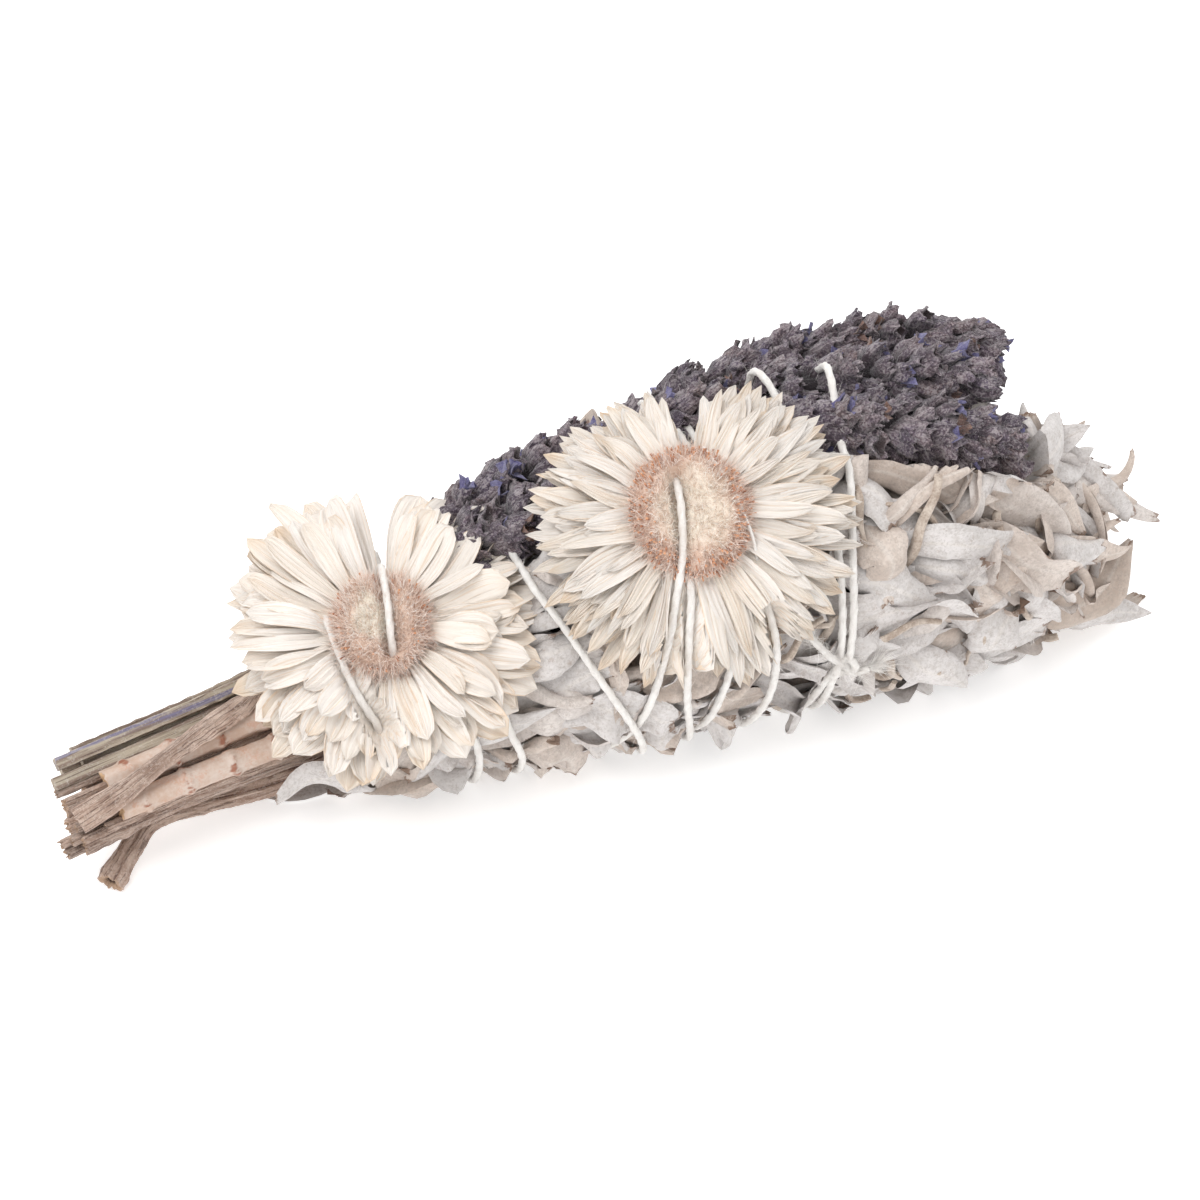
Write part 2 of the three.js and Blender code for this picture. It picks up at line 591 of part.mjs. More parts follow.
// The knot: a small closed loop that goes three times through itself.
function knot(sides, radius) {
  const centre = onOutline(KNOT_AT);
  const a = radians(KNOT_AT[1]);
  const outward = new THREE.Vector3(0, -Math.cos(a), Math.sin(a));
  const round = new THREE.Vector3(0, Math.sin(a), Math.cos(a));
  const loop = Array.from({ length: 13 }, (_, i) => {
    const t = (i / 12) * 2 * Math.PI;
    return centre.clone()
      .add(new THREE.Vector3(KNOT_R * Math.cos(t), 0, 0))
      .addScaledVector(round, KNOT_R * Math.sin(t))
      .addScaledVector(outward, 0.6 * Math.cos(2 * t));
  });
  return [0, 4, 8].map((k) => tube(loop.slice(k, k + 5), sides, () => radius));
}

function cottonString(sides, radius) {
  const tails = TAILS.map((tail) => tube(spaced(tail.map(onOutline), 5), 4, () => radius * 0.8));
  return joined([...stringTube(stringPoints(), sides, radius), ...knot(sides, radius), ...tails]);
}

// ---- Assembly ----

// What lies on the table is flat there.
function tableRoom() {
  const block = new THREE.BoxGeometry(400, 400, 60).translate(0, 0, -30);
  block.deleteAttribute("normal");
  block.deleteAttribute("uv");
  return solid(mergeVertices(block));
}

function boxesMeet(a, b) {
  const p = a.boundingBox();
  const q = b.boundingBox();
  return [0, 1, 2].every((i) => p.min[i] <= q.max[i] && q.min[i] <= p.max[i]);
}

// A solid without the rooms that other pieces need, and without loose scraps.
function clearOf(whole, rooms) {
  const near = rooms.filter((room) => boxesMeet(whole, room));
  return mainBody(near.reduce((rest, room) => rest.subtract(room), whole));
}

// Each corner's neighbours in a list of faces.
function neighbours(faces, count) {
  const beside = Array.from({ length: count }, () => new Set());
  faces.forEach((face) => face.forEach((corner, k) => {
    beside[corner].add(face[(k + 1) % 3]);
    beside[corner].add(face[(k + 2) % 3]);
  }));
  return beside;
}

// One pass that draws each very short edge together, where the two faces beside it are all that its
// ends share, and leaves alone what lies next to an edge already drawn. Returns the faces left.
function drawTogether(faces, at) {
  const beside = neighbours(faces, at.length);
  const used = new Set();
  const moved = new Map();
  faces.forEach((face) => face.forEach((u, k) => {
    const v = face[(k + 1) % 3];
    if (u > v || at[u].distanceTo(at[v]) > SHORTEST_EDGE) return;
    const near = [u, v, ...beside[u], ...beside[v]];
    const shared = [...beside[u]].filter((n) => beside[v].has(n));
    if (shared.length !== 2 || near.some((n) => used.has(n))) return;
    near.forEach((n) => used.add(n));
    moved.set(v, u);
  }));
  return faces
    .map((face) => face.map((n) => moved.get(n) ?? n))
    .filter(([a, b, c]) => a !== b && b !== c && c !== a);
}

// One pass that turns the longest edge of each needle-thin face over to its neighbour's far corner.
function turnEdges(faces, at) {
  const beside = neighbours(faces, at.length);
  const owner = new Map();
  faces.forEach((face, f) => face.forEach((n, k) => {
    owner.set(`${n} ${face[(k + 1) % 3]}`, [f, face[(k + 2) % 3]]);
  }));
  const used = new Set();
  const next = [...faces];
  faces.forEach((face, f) => {
    const lengths = face.map((n, k) => at[n].distanceTo(at[face[(k + 1) % 3]]));
    const k = lengths.indexOf(Math.max(...lengths));
    const [a, b, c] = [face[k], face[(k + 1) % 3], face[(k + 2) % 3]];
    const area = new THREE.Triangle(at[a], at[b], at[c]).getArea();
    const [g, d] = owner.get(`${b} ${a}`);
    if ((2 * area) / lengths[k] > THINNEST_FACE || d === c || beside[c].has(d)) return;
    if ([a, b, c, d].some((n) => used.has(n))) return;
    [a, b, c, d].forEach((n) => used.add(n));
    next[f] = [a, d, c];
    next[g] = [d, b, c];
  });
  return next;
}

// A cut leaves some faces far too thin to matter: the same surface without them.
function withoutSlivers({ vertProperties, triVerts }) {
  const at = [];
  for (let i = 0; i < vertProperties.length; i += 3) at.push(new THREE.Vector3().fromArray(vertProperties, i));
  let faces = [];
  for (let t = 0; t < triVerts.length; t += 3) faces.push([...triVerts.slice(t, t + 3)]);
  for (let pass = 0; pass < SLIVER_PASSES; pass++) faces = turnEdges(drawTogether(faces, at), at);
  faces = drawTogether(faces, at);
  const geometry = new THREE.BufferGeometry().setFromPoints(at);
  geometry.setIndex(faces.flat());
  return mergeVertices(geometry, 0);
}

const bunch = new THREE.Group();
bunch.position.set(-MIDDLE.x, -MIDDLE.y, 0);

function addPiece(name, shape, color, roughness) {
  const geometry = withoutSlivers(shape.getMesh());
  const mesh = new THREE.Mesh(geometry, new THREE.MeshStandardMaterial({ color, roughness, metalness: 0 }));
  mesh.name = name;
  bunch.add(mesh);
}

const table = tableRoom();
const stringRoom = cottonString(4, STRING_R * Math.SQRT2 + GAP);
const stalkRooms = LAVENDER.map((lavender) => tube(stalkPoints(lavender), 6, () => STALK_R + GAP + 0.1));
const spikes = LAVENDER.map((lavender, i) => lavenderSpike(lavender, 11 + i));
const spikeRooms = LAVENDER.map((lavender) => (
  tube(spikeLine(lavender, 6), 8, (share) => spikeRadius(share) + 0.9)
));
const headRooms = STRAWFLOWERS.map(headRoom);

addPiece("cotton_string", cottonString(STRING_SIDES, STRING_R).subtract(table), COTTON_WHITE, 0.95);

STEMS.forEach((stem, i) => {
  const wood = stem.peeled ? PEELED_WOOD : SAGE_WOOD;
  addPiece(`sage_stem_${i + 1}`, clearOf(sageStem(stem, i), [table]), wood, 0.85);
});

WEDGES.forEach((wedge, w) => {
  const loose = LOOSE_LEAVES[w].map((leaf) => sageLeaf(leaf, wedge));
  const leaves = joined([leafyCore(wedge), ...wedgeLeaves(wedge, w), ...loose]).intersect(wedgeRoom(wedge));
  const rooms = [table, stringRoom, ...stalkRooms, ...spikeRooms, ...headRooms];
  addPiece(`sage_leaves_${w + 1}`, clearOf(leaves, rooms), SAGE_GREY, 0.95);
});

LAVENDER.forEach((lavender, i) => {
  const stalk = tube(stalkPoints(lavender), 5, () => STALK_R);
  addPiece(`lavender_stalk_${i + 1}`, clearOf(stalk, [stringRoom]), STALK_GREY, 0.9);
  const others = spikeRooms.filter((_, k) => k < i);
  const spike = clearOf(spikes[i], [stringRoom, ...others, ...headRooms]);
  addPiece(`lavender_spike_${i + 1}`, spike, LAVENDER_GREY, 0.95);
});

STRAWFLOWERS.forEach((flower, i) => {
  const disc = strawflowerDisc(flower, 21 + i);
  const bracts = clearOf(strawflowerBracts(flower, 23 + i), [stringRoom]);
  addPiece(`strawflower_${i + 1}_bracts`, bracts, BRACT_CREAM, 0.6);
  addPiece(`strawflower_${i + 1}_disc`, clearOf(disc, [stringRoom]), DISC_BROWN, 0.95);
});

export default bunch;
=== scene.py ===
"""The looks of a dried herb bunch: sage, lavender and two strawflower heads bound by a cotton string.

Every piece is a set of rings of points carried along paths, worked out as whole arrays in the bunch's own
coordinates: x along the bunch, an angle round it (0 at the front, 90 on top) and a radius from its middle
line, in millimetres. They become metres in the part's frame when the mesh is made.
"""

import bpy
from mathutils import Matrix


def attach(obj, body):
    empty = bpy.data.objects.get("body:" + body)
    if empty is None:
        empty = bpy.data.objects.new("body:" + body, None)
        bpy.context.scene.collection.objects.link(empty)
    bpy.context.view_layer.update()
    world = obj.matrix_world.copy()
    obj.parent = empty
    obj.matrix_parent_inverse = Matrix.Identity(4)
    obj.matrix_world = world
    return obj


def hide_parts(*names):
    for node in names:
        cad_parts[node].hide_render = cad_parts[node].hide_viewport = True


bl_info = {
    "name": "Dried Herb Bunch",
    "version": (1, 0, 0),
    "blender": (4, 5, 0),
    "location": "View3D > Sidebar > Herb Bunch",
    "description": "Makes the leaves, flowers, stems and string of a dried herb bunch",
    "category": "Add Mesh",
}

import math

import bpy
import numpy as np
from mathutils import Vector

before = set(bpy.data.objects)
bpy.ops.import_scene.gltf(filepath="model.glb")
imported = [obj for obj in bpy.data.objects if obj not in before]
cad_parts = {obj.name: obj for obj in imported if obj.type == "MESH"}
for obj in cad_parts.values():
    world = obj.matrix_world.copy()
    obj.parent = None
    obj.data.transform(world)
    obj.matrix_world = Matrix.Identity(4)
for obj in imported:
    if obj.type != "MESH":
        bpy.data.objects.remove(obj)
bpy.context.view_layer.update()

# ---- The bunch's own coordinates, as the part has them ----

MM = 0.001
MIDDLE = np.array([2.87, -1.62, 0.0])
OUTLINE = [[-88, 8.9], [-72, 8.8], [-58, 9], [-45, 12.5], [-25, 18.2], [0, 24],
           [25, 27], [45, 27.5], [62, 24], [75, 17], [92, 9]]
STEM_SWAY = [[-88, -7.5], [-70, -4], [-55, -1], [-42, 0], [92, 0]]
SINK = 0.5
STEM_TOP_X = -43.45
GAP = 0.3
FLOOR_CLEAR = 0.05
GOLDEN_RATIO = 0.618034
GOLDEN_ANGLE = 2.399963

CAMERA_AT = (-22, 38)  # degrees round from the front and up
CAMERA_AIM = (0, 0, 21)
KEY_AT = (-0.45, -0.2, 0.9)
FILL_AT = (0.35, 0.5, 0.9)
FLOOR_GLOW = 0.45


def along(table, x):
    """Cubic between the rows [x, y] of a table, each row's slope being that between its two neighbours."""
    xs, ys = np.asarray(table, float).T
    last = len(xs) - 1
    x = np.clip(np.asarray(x, float), xs[0], xs[-1])
    i = np.clip(np.searchsorted(xs, x, side="right") - 1, 0, last - 1)
    rows = np.arange(last + 1)
    before, after = np.maximum(rows - 1, 0), np.minimum(rows + 1, last)
    slope = (ys[after] - ys[before]) / (xs[after] - xs[before])
    h = xs[i + 1] - xs[i]
    t = (x - xs[i]) / h
    return (ys[i] * (1 + 2 * t) * (1 - t) ** 2 + h * slope[i] * t * (1 - t) ** 2
            + ys[i + 1] * (3 - 2 * t) * t ** 2 + h * slope[i + 1] * (t - 1) * t ** 2)


def outline(x):
    return along(OUTLINE, x)


def place(x, angle, radius):
    """(x, sway - r cos a, outline - sink + r sin a) for arrays of x, angle in degrees and radius."""
    a = np.radians(angle)
    x, a, radius = np.broadcast_arrays(np.asarray(x, float), a, radius)
    return np.stack([x, along(STEM_SWAY, x) - radius * np.cos(a), outline(x) - SINK + radius * np.sin(a)], -1)


def unplace(points):
    """The x, angle and radius of points."""
    x = points[..., 0]
    y = points[..., 1] - along(STEM_SWAY, x)
    z = points[..., 2] - (outline(x) - SINK)
    return x, np.degrees(np.arctan2(z, -y)), np.hypot(y, z)


def outward_at(angle):
    """The direction away from the bunch's middle line at an angle round it."""
    a = np.radians(angle)
    return np.stack([np.zeros_like(a), -np.cos(a), np.sin(a)], -1)


def draw(family, i, k):
    """A repeatable number from 0 to 1: the fraction of a large multiple of a sine."""
    s = np.sin(np.asarray(family) * 12.9898 + np.asarray(i) * 78.233 + k * 37.719) * 43758.5453
    return s - np.floor(s)


def between(low, high, share):
    return low + (high - low) * share


def ease(t):
    """0 to 1 with level ends: 3t^2 - 2t^3."""
    t = np.clip(t, 0, 1)
    return t * t * (3 - 2 * t)


def unit(v):
    return v / np.maximum(np.linalg.norm(v, axis=-1, keepdims=True), 1e-9)


def column(values):
    """An array with two more axes, to go with stations and ring corners."""
    return np.asarray(values)[..., None, None]


# ---- Curves ----


def smooth_route(points, step):
    """Points at even steps of length along the centripetal Catmull-Rom curve through the given ones."""
    p = np.asarray(points, float)
    p = np.vstack([2 * p[0] - p[1], p, 2 * p[-1] - p[-2]])
    gap = np.maximum(np.linalg.norm(np.diff(p, axis=0), axis=1) ** 0.5, 1e-4)
    t = np.linspace(0, 1, 24, endpoint=False)[:, None]
    dense = []
    for i in range(1, len(p) - 2):
        a, b, c = gap[i - 1], gap[i], gap[i + 1]
        m1 = b * ((p[i] - p[i - 1]) / a - (p[i + 1] - p[i - 1]) / (a + b) + (p[i + 1] - p[i]) / b)
        m2 = b * ((p[i + 1] - p[i]) / b - (p[i + 2] - p[i]) / (b + c) + (p[i + 2] - p[i + 1]) / c)
        dense.append(p[i] * (1 + 2 * t) * (1 - t) ** 2 + m1 * t * (1 - t) ** 2
                     + p[i + 1] * (3 - 2 * t) * t ** 2 + m2 * (t - 1) * t ** 2)
    dense = np.vstack([*dense, p[-2:-1]])
    length = np.concatenate([[0], np.cumsum(np.linalg.norm(np.diff(dense, axis=0), axis=1))])
    at = np.linspace(0, length[-1], max(3, round(length[-1] / step) + 1))
    return np.stack([np.interp(at, length, dense[:, k]) for k in range(3)], -1)


def frames_along(path, up):
    """Unit vectors across and over a path (..., stations, 3): across = tangent x up, over = across x
    tangent."""
    tangent = unit(np.gradient(path, axis=-2))
    across = unit(np.cross(tangent, up))
    return across, np.cross(across, tangent)


def carried(path, across, over, sideways, upwards):
    """Rings of points: path + across * sideways + over * upwards, with sideways and upwards (..., stations,
    corners)."""
    return (path[..., None, :] + across[..., None, :] * sideways[..., None]
            + over[..., None, :] * upwards[..., None])


def ring_angles(corners):
    return np.linspace(0, 2 * np.pi, corners, endpoint=False)


def tube(path, across, over, r, a):
    """Rings of points at the radius r and the angles a round a path."""
    return carried(path, across, over, r * np.cos(a), r * np.sin(a))


def waves(t, s, seed, count=4, size=1.0):
    """Smooth noise over two parameters: a sum of sine waves whose directions and phases come from the
    seed."""
    total = 0
    for k in range(count):
        f = between(1.2, 3.2 + 1.6 * k, draw(seed, k, 1))
        g = between(0.4, 1.6 + 0.9 * k, draw(seed, k, 2)) * np.sign(draw(seed, k, 4) - 0.5)
        total = total + np.sin(2 * np.pi * (f * t + g * s + draw(seed, k, 3))) / (1 + 0.6 * k)
    return total * size / count


# ---- Meshes ----

CREASE = 60  # degrees between faces, from which an edge is sharp


class Skin:
    """Closed shapes gathered into one mesh, with three marks at each point for the materials to read."""

    def __init__(self):
        self.points, self.quads, self.caps, self.quad_uv, self.cap_uv = [], [], [], [], []
        self.marks = {"tone": [], "kind": [], "edge": []}
        self.count = 0

    def add(self, rings, around=None, lengthwise=None, **marks):
        """Adds shapes (shapes, stations, corners, 3), closed at both ends by a point in the middle of the
        end ring.

        A mark is one number for each shape, ring or point. around gives the u of each corner and the one
        that closes the ring, and lengthwise the v of each station.
        """
        rings = np.asarray(rings, float)
        if rings.ndim == 3:
            rings = rings[None]
        n, s, r, _ = rings.shape
        ends = rings[:, [0, -1]].mean(axis=2)
        points = np.concatenate([rings.reshape(n, -1, 3), ends], 1)
        i, j = np.meshgrid(np.arange(s - 1), np.arange(r), indexing="ij")
        k = (j + 1) % r
        quads = np.stack([i * r + j, i * r + k, (i + 1) * r + k, (i + 1) * r + j], -1).reshape(-1, 4)
        c = np.arange(r)
        d = (c + 1) % r
        low = np.stack([np.full(r, s * r), d, c], -1)
        high = np.stack([np.full(r, s * r + 1), (s - 1) * r + c, (s - 1) * r + d], -1)
        u = np.linspace(0, 1, r + 1) if around is None else np.asarray(around, float)
        v = np.linspace(0, 1, s) if lengthwise is None else np.asarray(lengthwise, float)
        quad_uv = np.stack([np.stack([u[j], u[j + 1], u[j + 1], u[j]], -1),
                            np.stack([v[i], v[i], v[i + 1], v[i + 1]], -1)], -1).reshape(-1, 4, 2)
        middle = (u[c] + u[c + 1]) / 2
        cap_uv = np.concatenate([
            np.stack([np.stack([middle, u[c + 1], u[c]], -1), np.full((r, 3), v[0])], -1),
            np.stack([np.stack([middle, u[c], u[c + 1]], -1), np.full((r, 3), v[-1])], -1)])
        for name, values in self.marks.items():
            values.append(self.spread(marks.get(name, 0.0), n, s, r))
        self.gather(points, quads, np.concatenate([low, high]), quad_uv, cap_uv)

    def add_hairs(self, rings, tips, **marks):
        """Adds three-sided hairs: two rings of each (hairs, 2, 3, 3) and the point it ends in."""
        points = np.concatenate([rings.reshape(len(rings), 6, 3), tips[:, None]], 1)
        quads = np.array([[0, 1, 4, 3], [1, 2, 5, 4], [2, 0, 3, 5]])
        caps = np.array([[2, 1, 0], [3, 4, 6], [4, 5, 6], [5, 3, 6]])
        v = np.array([0, 0, 0, 0.5, 0.5, 0.5, 1])
        for name, values in self.marks.items():
            values.append(np.repeat(np.broadcast_to(marks.get(name, 0.0), len(rings)), 7))
        quad_uv, cap_uv = (np.stack([0 * v[faces], v[faces]], -1) for faces in (quads, caps))
        self.gather(points, quads, caps, quad_uv, cap_uv)

    def gather(self, points, quads, caps, quad_uv, cap_uv):
        """Takes in shapes that share their faces. One that is inside out has its faces turned."""
        turned = (self.volumes(points, quads, caps) < 0)[:, None, None]
        offset = self.count + np.arange(len(points))[:, None, None] * points.shape[1]
        for faces, all_faces in ((quads, self.quads), (caps, self.caps)):
            faces = np.where(turned, faces[None, :, ::-1], faces[None])
            all_faces.append((faces + offset).reshape(-1, faces.shape[-1]))
        for uv, all_uv in ((quad_uv, self.quad_uv), (cap_uv, self.cap_uv)):
            all_uv.append(np.where(turned[..., None], uv[None, :, ::-1], uv[None]).reshape(-1, 2))
        self.points.append(points.reshape(-1, 3))
        self.count += points.shape[0] * points.shape[1]

    @staticmethod
    def spread(value, n, s, r):
        """A mark for each point of each shape, from one number, one for each shape or one for each ring
        corner."""
        value = np.asarray(value, float)
        if value.ndim <= 1:
            return np.broadcast_to(value.reshape(-1, 1), (n, s * r + 2)).ravel()
        value = np.broadcast_to(value, (n, s, r))
        return np.concatenate([value.reshape(n, -1), value[:, [0, -1]].mean(axis=2)], 1).ravel()

    @staticmethod
    def volumes(points, quads, caps):
        """Six times the signed volume of each shape: the sum of a . (b x c) over its triangles."""
        tris = np.concatenate([quads[:, [0, 1, 2]], quads[:, [0, 2, 3]], caps])
        a, b, c = (points[:, tris[:, k]] - points[:, :1] for k in range(3))
        return np.einsum("ntk,ntk->n", a, np.cross(b, c))

    def piece(self, name, material):
        """The mesh as an object, in metres in the part's frame, with nothing of it below the table."""
        points = np.concatenate(self.points)
        points[:, 2] = np.maximum(points[:, 2], FLOOR_CLEAR)
        points = (points - MIDDLE) * MM
        quads, caps = np.concatenate(self.quads), np.concatenate(self.caps)
        corners = np.concatenate([quads.ravel(), caps.ravel()])
        totals = np.concatenate([np.full(len(quads), 4), np.full(len(caps), 3)])
        starts = np.concatenate([[0], np.cumsum(totals)[:-1]])
        mesh = bpy.data.meshes.new(name)
        mesh.vertices.add(len(points))
        mesh.vertices.foreach_set("co", points.ravel().astype(np.float32))
        mesh.loops.add(len(corners))
        mesh.loops.foreach_set("vertex_index", corners.astype(np.int32))
        mesh.polygons.add(len(totals))
        mesh.polygons.foreach_set("loop_start", starts.astype(np.int32))
        mesh.polygons.foreach_set("use_smooth", np.ones(len(totals), bool))
        uv = np.concatenate([*self.quad_uv, *self.cap_uv])
        mesh.uv_layers.new(name="UVMap").data.foreach_set("uv", uv.ravel().astype(np.float32))
        for mark, values in self.marks.items():
            data = mesh.attributes.new(mark, "FLOAT", "POINT").data
            data.foreach_set("value", np.concatenate(values).astype(np.float32))
        mesh.update(calc_edges=True)
        mesh.set_sharp_from_angle(angle=math.radians(CREASE))
        mesh.materials.append(material)
        piece = bpy.data.objects.new(name, mesh)
        bpy.context.scene.collection.objects.link(piece)
        return piece


def finish_piece(piece, slot, *nodes):
    """The piece stands for its CAD nodes, which are hidden, and rides on the one body."""
    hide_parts(*nodes)
    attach(piece, "root")


def ring_of_blade(s, x, y, normal_x, normal_y, thick):
    """The closed ring of a thin section: over its middle line on one side, back on the other, joined at the
    edges."""
    bulge = thick / 2 * (1 - 0.6 * s ** 4)
    bulge[..., [0, -1]] = 0
    over = np.stack([x + normal_x * bulge, y + normal_y * bulge])
    under = np.stack([x - normal_x * bulge, y - normal_y * bulge])[..., -2:0:-1]
    sideways, upwards = np.concatenate([over, under], -1)
    s = np.concatenate([s, s[-2:0:-1]])
    return sideways, upwards, np.append((s + 1) / 2, 0), s


def arched_blade(half, thick, camber, corners):
    """A blade's section with the middle line s * half, camber(s), and its thickness upright."""
    s = np.linspace(-1, 1, corners)
    x = half[..., None] * s
    y = camber(s) + 0 * x
    return ring_of_blade(s, x, y, 0 * x, 1 + 0 * x, thick + 0 * x)


def rolled_blade(half, thick, slope, corners):
    """A blade's section that may roll up: its middle line leans by slope(s), adding up cosines and sines
    from s = 0, and its thickness stands square to it."""
    s = np.linspace(-1, 1, corners)
    lean = slope(s)
    step = half[..., None] * 2 / (corners - 1)
    x, y = (np.concatenate([0 * v[..., :1], np.cumsum((v[..., 1:] + v[..., :-1]) / 2 * step, axis=-1)], -1)
            for v in (np.cos(lean), -np.sin(lean)))
    middle = corners // 2
    x, y = x - x[..., middle:middle + 1], y - y[..., middle:middle + 1]
    return ring_of_blade(s, x, y, np.sin(lean), np.cos(lean), thick + 0 * x)


def hairs(roots, directions, length, radius, seed, bend=0.35):
    """Two rings and a tip for each hair: it starts at its root, runs its own way and bends aside by the
    square."""
    i = np.arange(len(roots))
    aside = unit(np.stack([draw(seed, i, k) - 0.5 for k in (11, 12, 13)], -1))
    length = np.broadcast_to(length, len(roots))[:, None]
    middle = roots + length * (directions * 0.5 + aside * bend / 4)
    tips = roots + length * (directions + aside * bend)
    across = unit(np.cross(directions, aside))
    over = np.cross(across, directions)
    a = np.arange(3) * 2 * np.pi / 3
    r = np.broadcast_to(radius, len(roots))[:, None, None] * np.array([1, 0.75])[:, None]
    path = np.stack([roots, middle], 1)
    rings = tube(path, across[:, None] + 0 * path, over[:, None] + 0 * path, r, a)
    return rings, tips


# ---- Shader nodes ----


class Nodes:
    """Adds nodes to a tree and links them, each call returning an output socket."""

    def __init__(self, tree):
        self.tree = tree

    def add(self, kind, inputs=None, **settings):
        node = self.tree.nodes.new(kind)
        for name, value in settings.items():
            setattr(node, name, value)
        for name, value in (inputs or {}).items():
            self.set(node.inputs[name], value)
        return node

    def set(self, socket, value):
        if isinstance(value, bpy.types.NodeSocket):
            self.tree.links.new(value, socket)
        else:
            socket.default_value = value

    def math(self, operation, a, b=0.0, c=0.0):
        return self.add("ShaderNodeMath", {0: a, 1: b, 2: c}, operation=operation).outputs[0]

    def remap(self, value, low, high, to_low=0.0, to_high=1.0):
        limits = {"Value": value, "From Min": low, "From Max": high, "To Min": to_low, "To Max": to_high}
        return self.add("ShaderNodeMapRange", limits, interpolation_type="SMOOTHSTEP").outputs[0]

    def mix(self, share, a, b, blend="MIX"):
        node = self.add("ShaderNodeMix", data_type="RGBA", blend_type=blend)
        self.set(node.inputs["Factor"], share)
        self.set(node.inputs[6], a)
        self.set(node.inputs[7], b)
        return node.outputs[2]

    def over(self, colour, mask, share, paint):
        """The colour with a share of the paint over it where the mask is."""
        return self.mix(self.math("MULTIPLY", mask, share), colour, paint)

    def noise(self, vector, scale, detail=3.0, roughness=0.55):
        node = self.add("ShaderNodeTexNoise", {"Vector": vector, "Scale": scale, "Detail": detail,
                                               "Roughness": roughness})
        return node.outputs["Fac"]

    def mark(self, name):
        return self.add("ShaderNodeAttribute", attribute_name=name).outputs["Fac"]


def node_group(name, inputs, outputs):
    """A new shader node group with its sockets. Returns it with its input and output nodes."""
    group = bpy.data.node_groups.new(name, "ShaderNodeTree")
    for label, kind, value in inputs:
        socket = group.interface.new_socket(name=label, in_out="INPUT", socket_type=kind)
        socket.default_value = value
    for label, kind in outputs:
        group.interface.new_socket(name=label, in_out="OUTPUT", socket_type=kind)
    return group, group.nodes.new("NodeGroupInput"), group.nodes.new("NodeGroupOutput")


def mottle_group():
    """Blotches of two colours on the object's own coordinates: mixes them by noise of two sizes."""
    group, inward, outward = node_group(
        "Mottle",
        [("Light", "NodeSocketColor", (1, 1, 1, 1)), ("Dark", "NodeSocketColor", (0, 0, 0, 1)),
         ("Scale", "NodeSocketFloat", 200.0), ("Share", "NodeSocketFloat", 0.5)],
        [("Color", "NodeSocketColor"), ("Value", "NodeSocketFloat")])
    n = Nodes(group)
    where = n.add("ShaderNodeTexCoord").outputs["Object"]
    large = n.noise(where, inward.outputs["Scale"], 4.0)
    fine = n.noise(where, n.math("MULTIPLY", inward.outputs["Scale"], 9.0), 2.0)
    both = n.math("MULTIPLY_ADD", fine, 0.35, n.math("MULTIPLY", large, 0.65))
    value = n.remap(both, 0.36, 0.64)
    share = n.math("MULTIPLY", value, inward.outputs["Share"])
    group.links.new(n.mix(share, inward.outputs["Light"], inward.outputs["Dark"]), outward.inputs["Color"])
    group.links.new(value, outward.inputs["Value"])
    return group


def streak_group():
    """Lines along the piece's own length: noise on its UV map, stretched so that u varies Count times more
    than v."""
    group, inward, outward = node_group(
        "Streaks",
        [("Count", "NodeSocketFloat", 20.0), ("Along", "NodeSocketFloat", 2.0),
         ("Seed", "NodeSocketFloat", 0.0)],
        [("Value", "NodeSocketFloat")])
    n = Nodes(group)
    uv = n.add("ShaderNodeSeparateXYZ", {"Vector": n.add("ShaderNodeTexCoord").outputs["UV"]}).outputs
    where = n.add("ShaderNodeCombineXYZ", {
        "X": n.math("MULTIPLY", uv["X"], inward.outputs["Count"]),
        "Y": n.math("MULTIPLY", uv["Y"], inward.outputs["Along"]),
        "Z": n.math("MULTIPLY", inward.outputs["Seed"], 37.0)}).outputs[0]
    group.links.new(n.noise(where, 1.0, 3.0, 0.6), outward.inputs["Value"])
    return group


def grain_group():
    """Fine felt, fuzz or fibre on the object's own coordinates, as a height."""
    group, inward, outward = node_group(
        "Grain", [("Scale", "NodeSocketFloat", 1500.0), ("Coarse", "NodeSocketFloat", 0.4)],
        [("Height", "NodeSocketFloat")])
    n = Nodes(group)
    where = n.add("ShaderNodeTexCoord").outputs["Object"]
    fine = n.noise(where, inward.outputs["Scale"], 3.0, 0.7)
    coarse = n.noise(where, n.math("MULTIPLY", inward.outputs["Scale"], 0.22), 3.0)
    height = n.math("MULTIPLY_ADD", coarse, inward.outputs["Coarse"], fine)
    group.links.new(height, outward.inputs["Height"])
    return group


def rgb(red, green, blue):
    """A colour given in the 0 to 255 steps of a screen, as the linear one that shaders use."""
    c = np.array([red, green, blue]) / 255
    linear = np.where(c <= 0.04045, c / 12.92, ((c + 0.055) / 1.055) ** 2.4)
    return (*map(float, linear), 1.0)


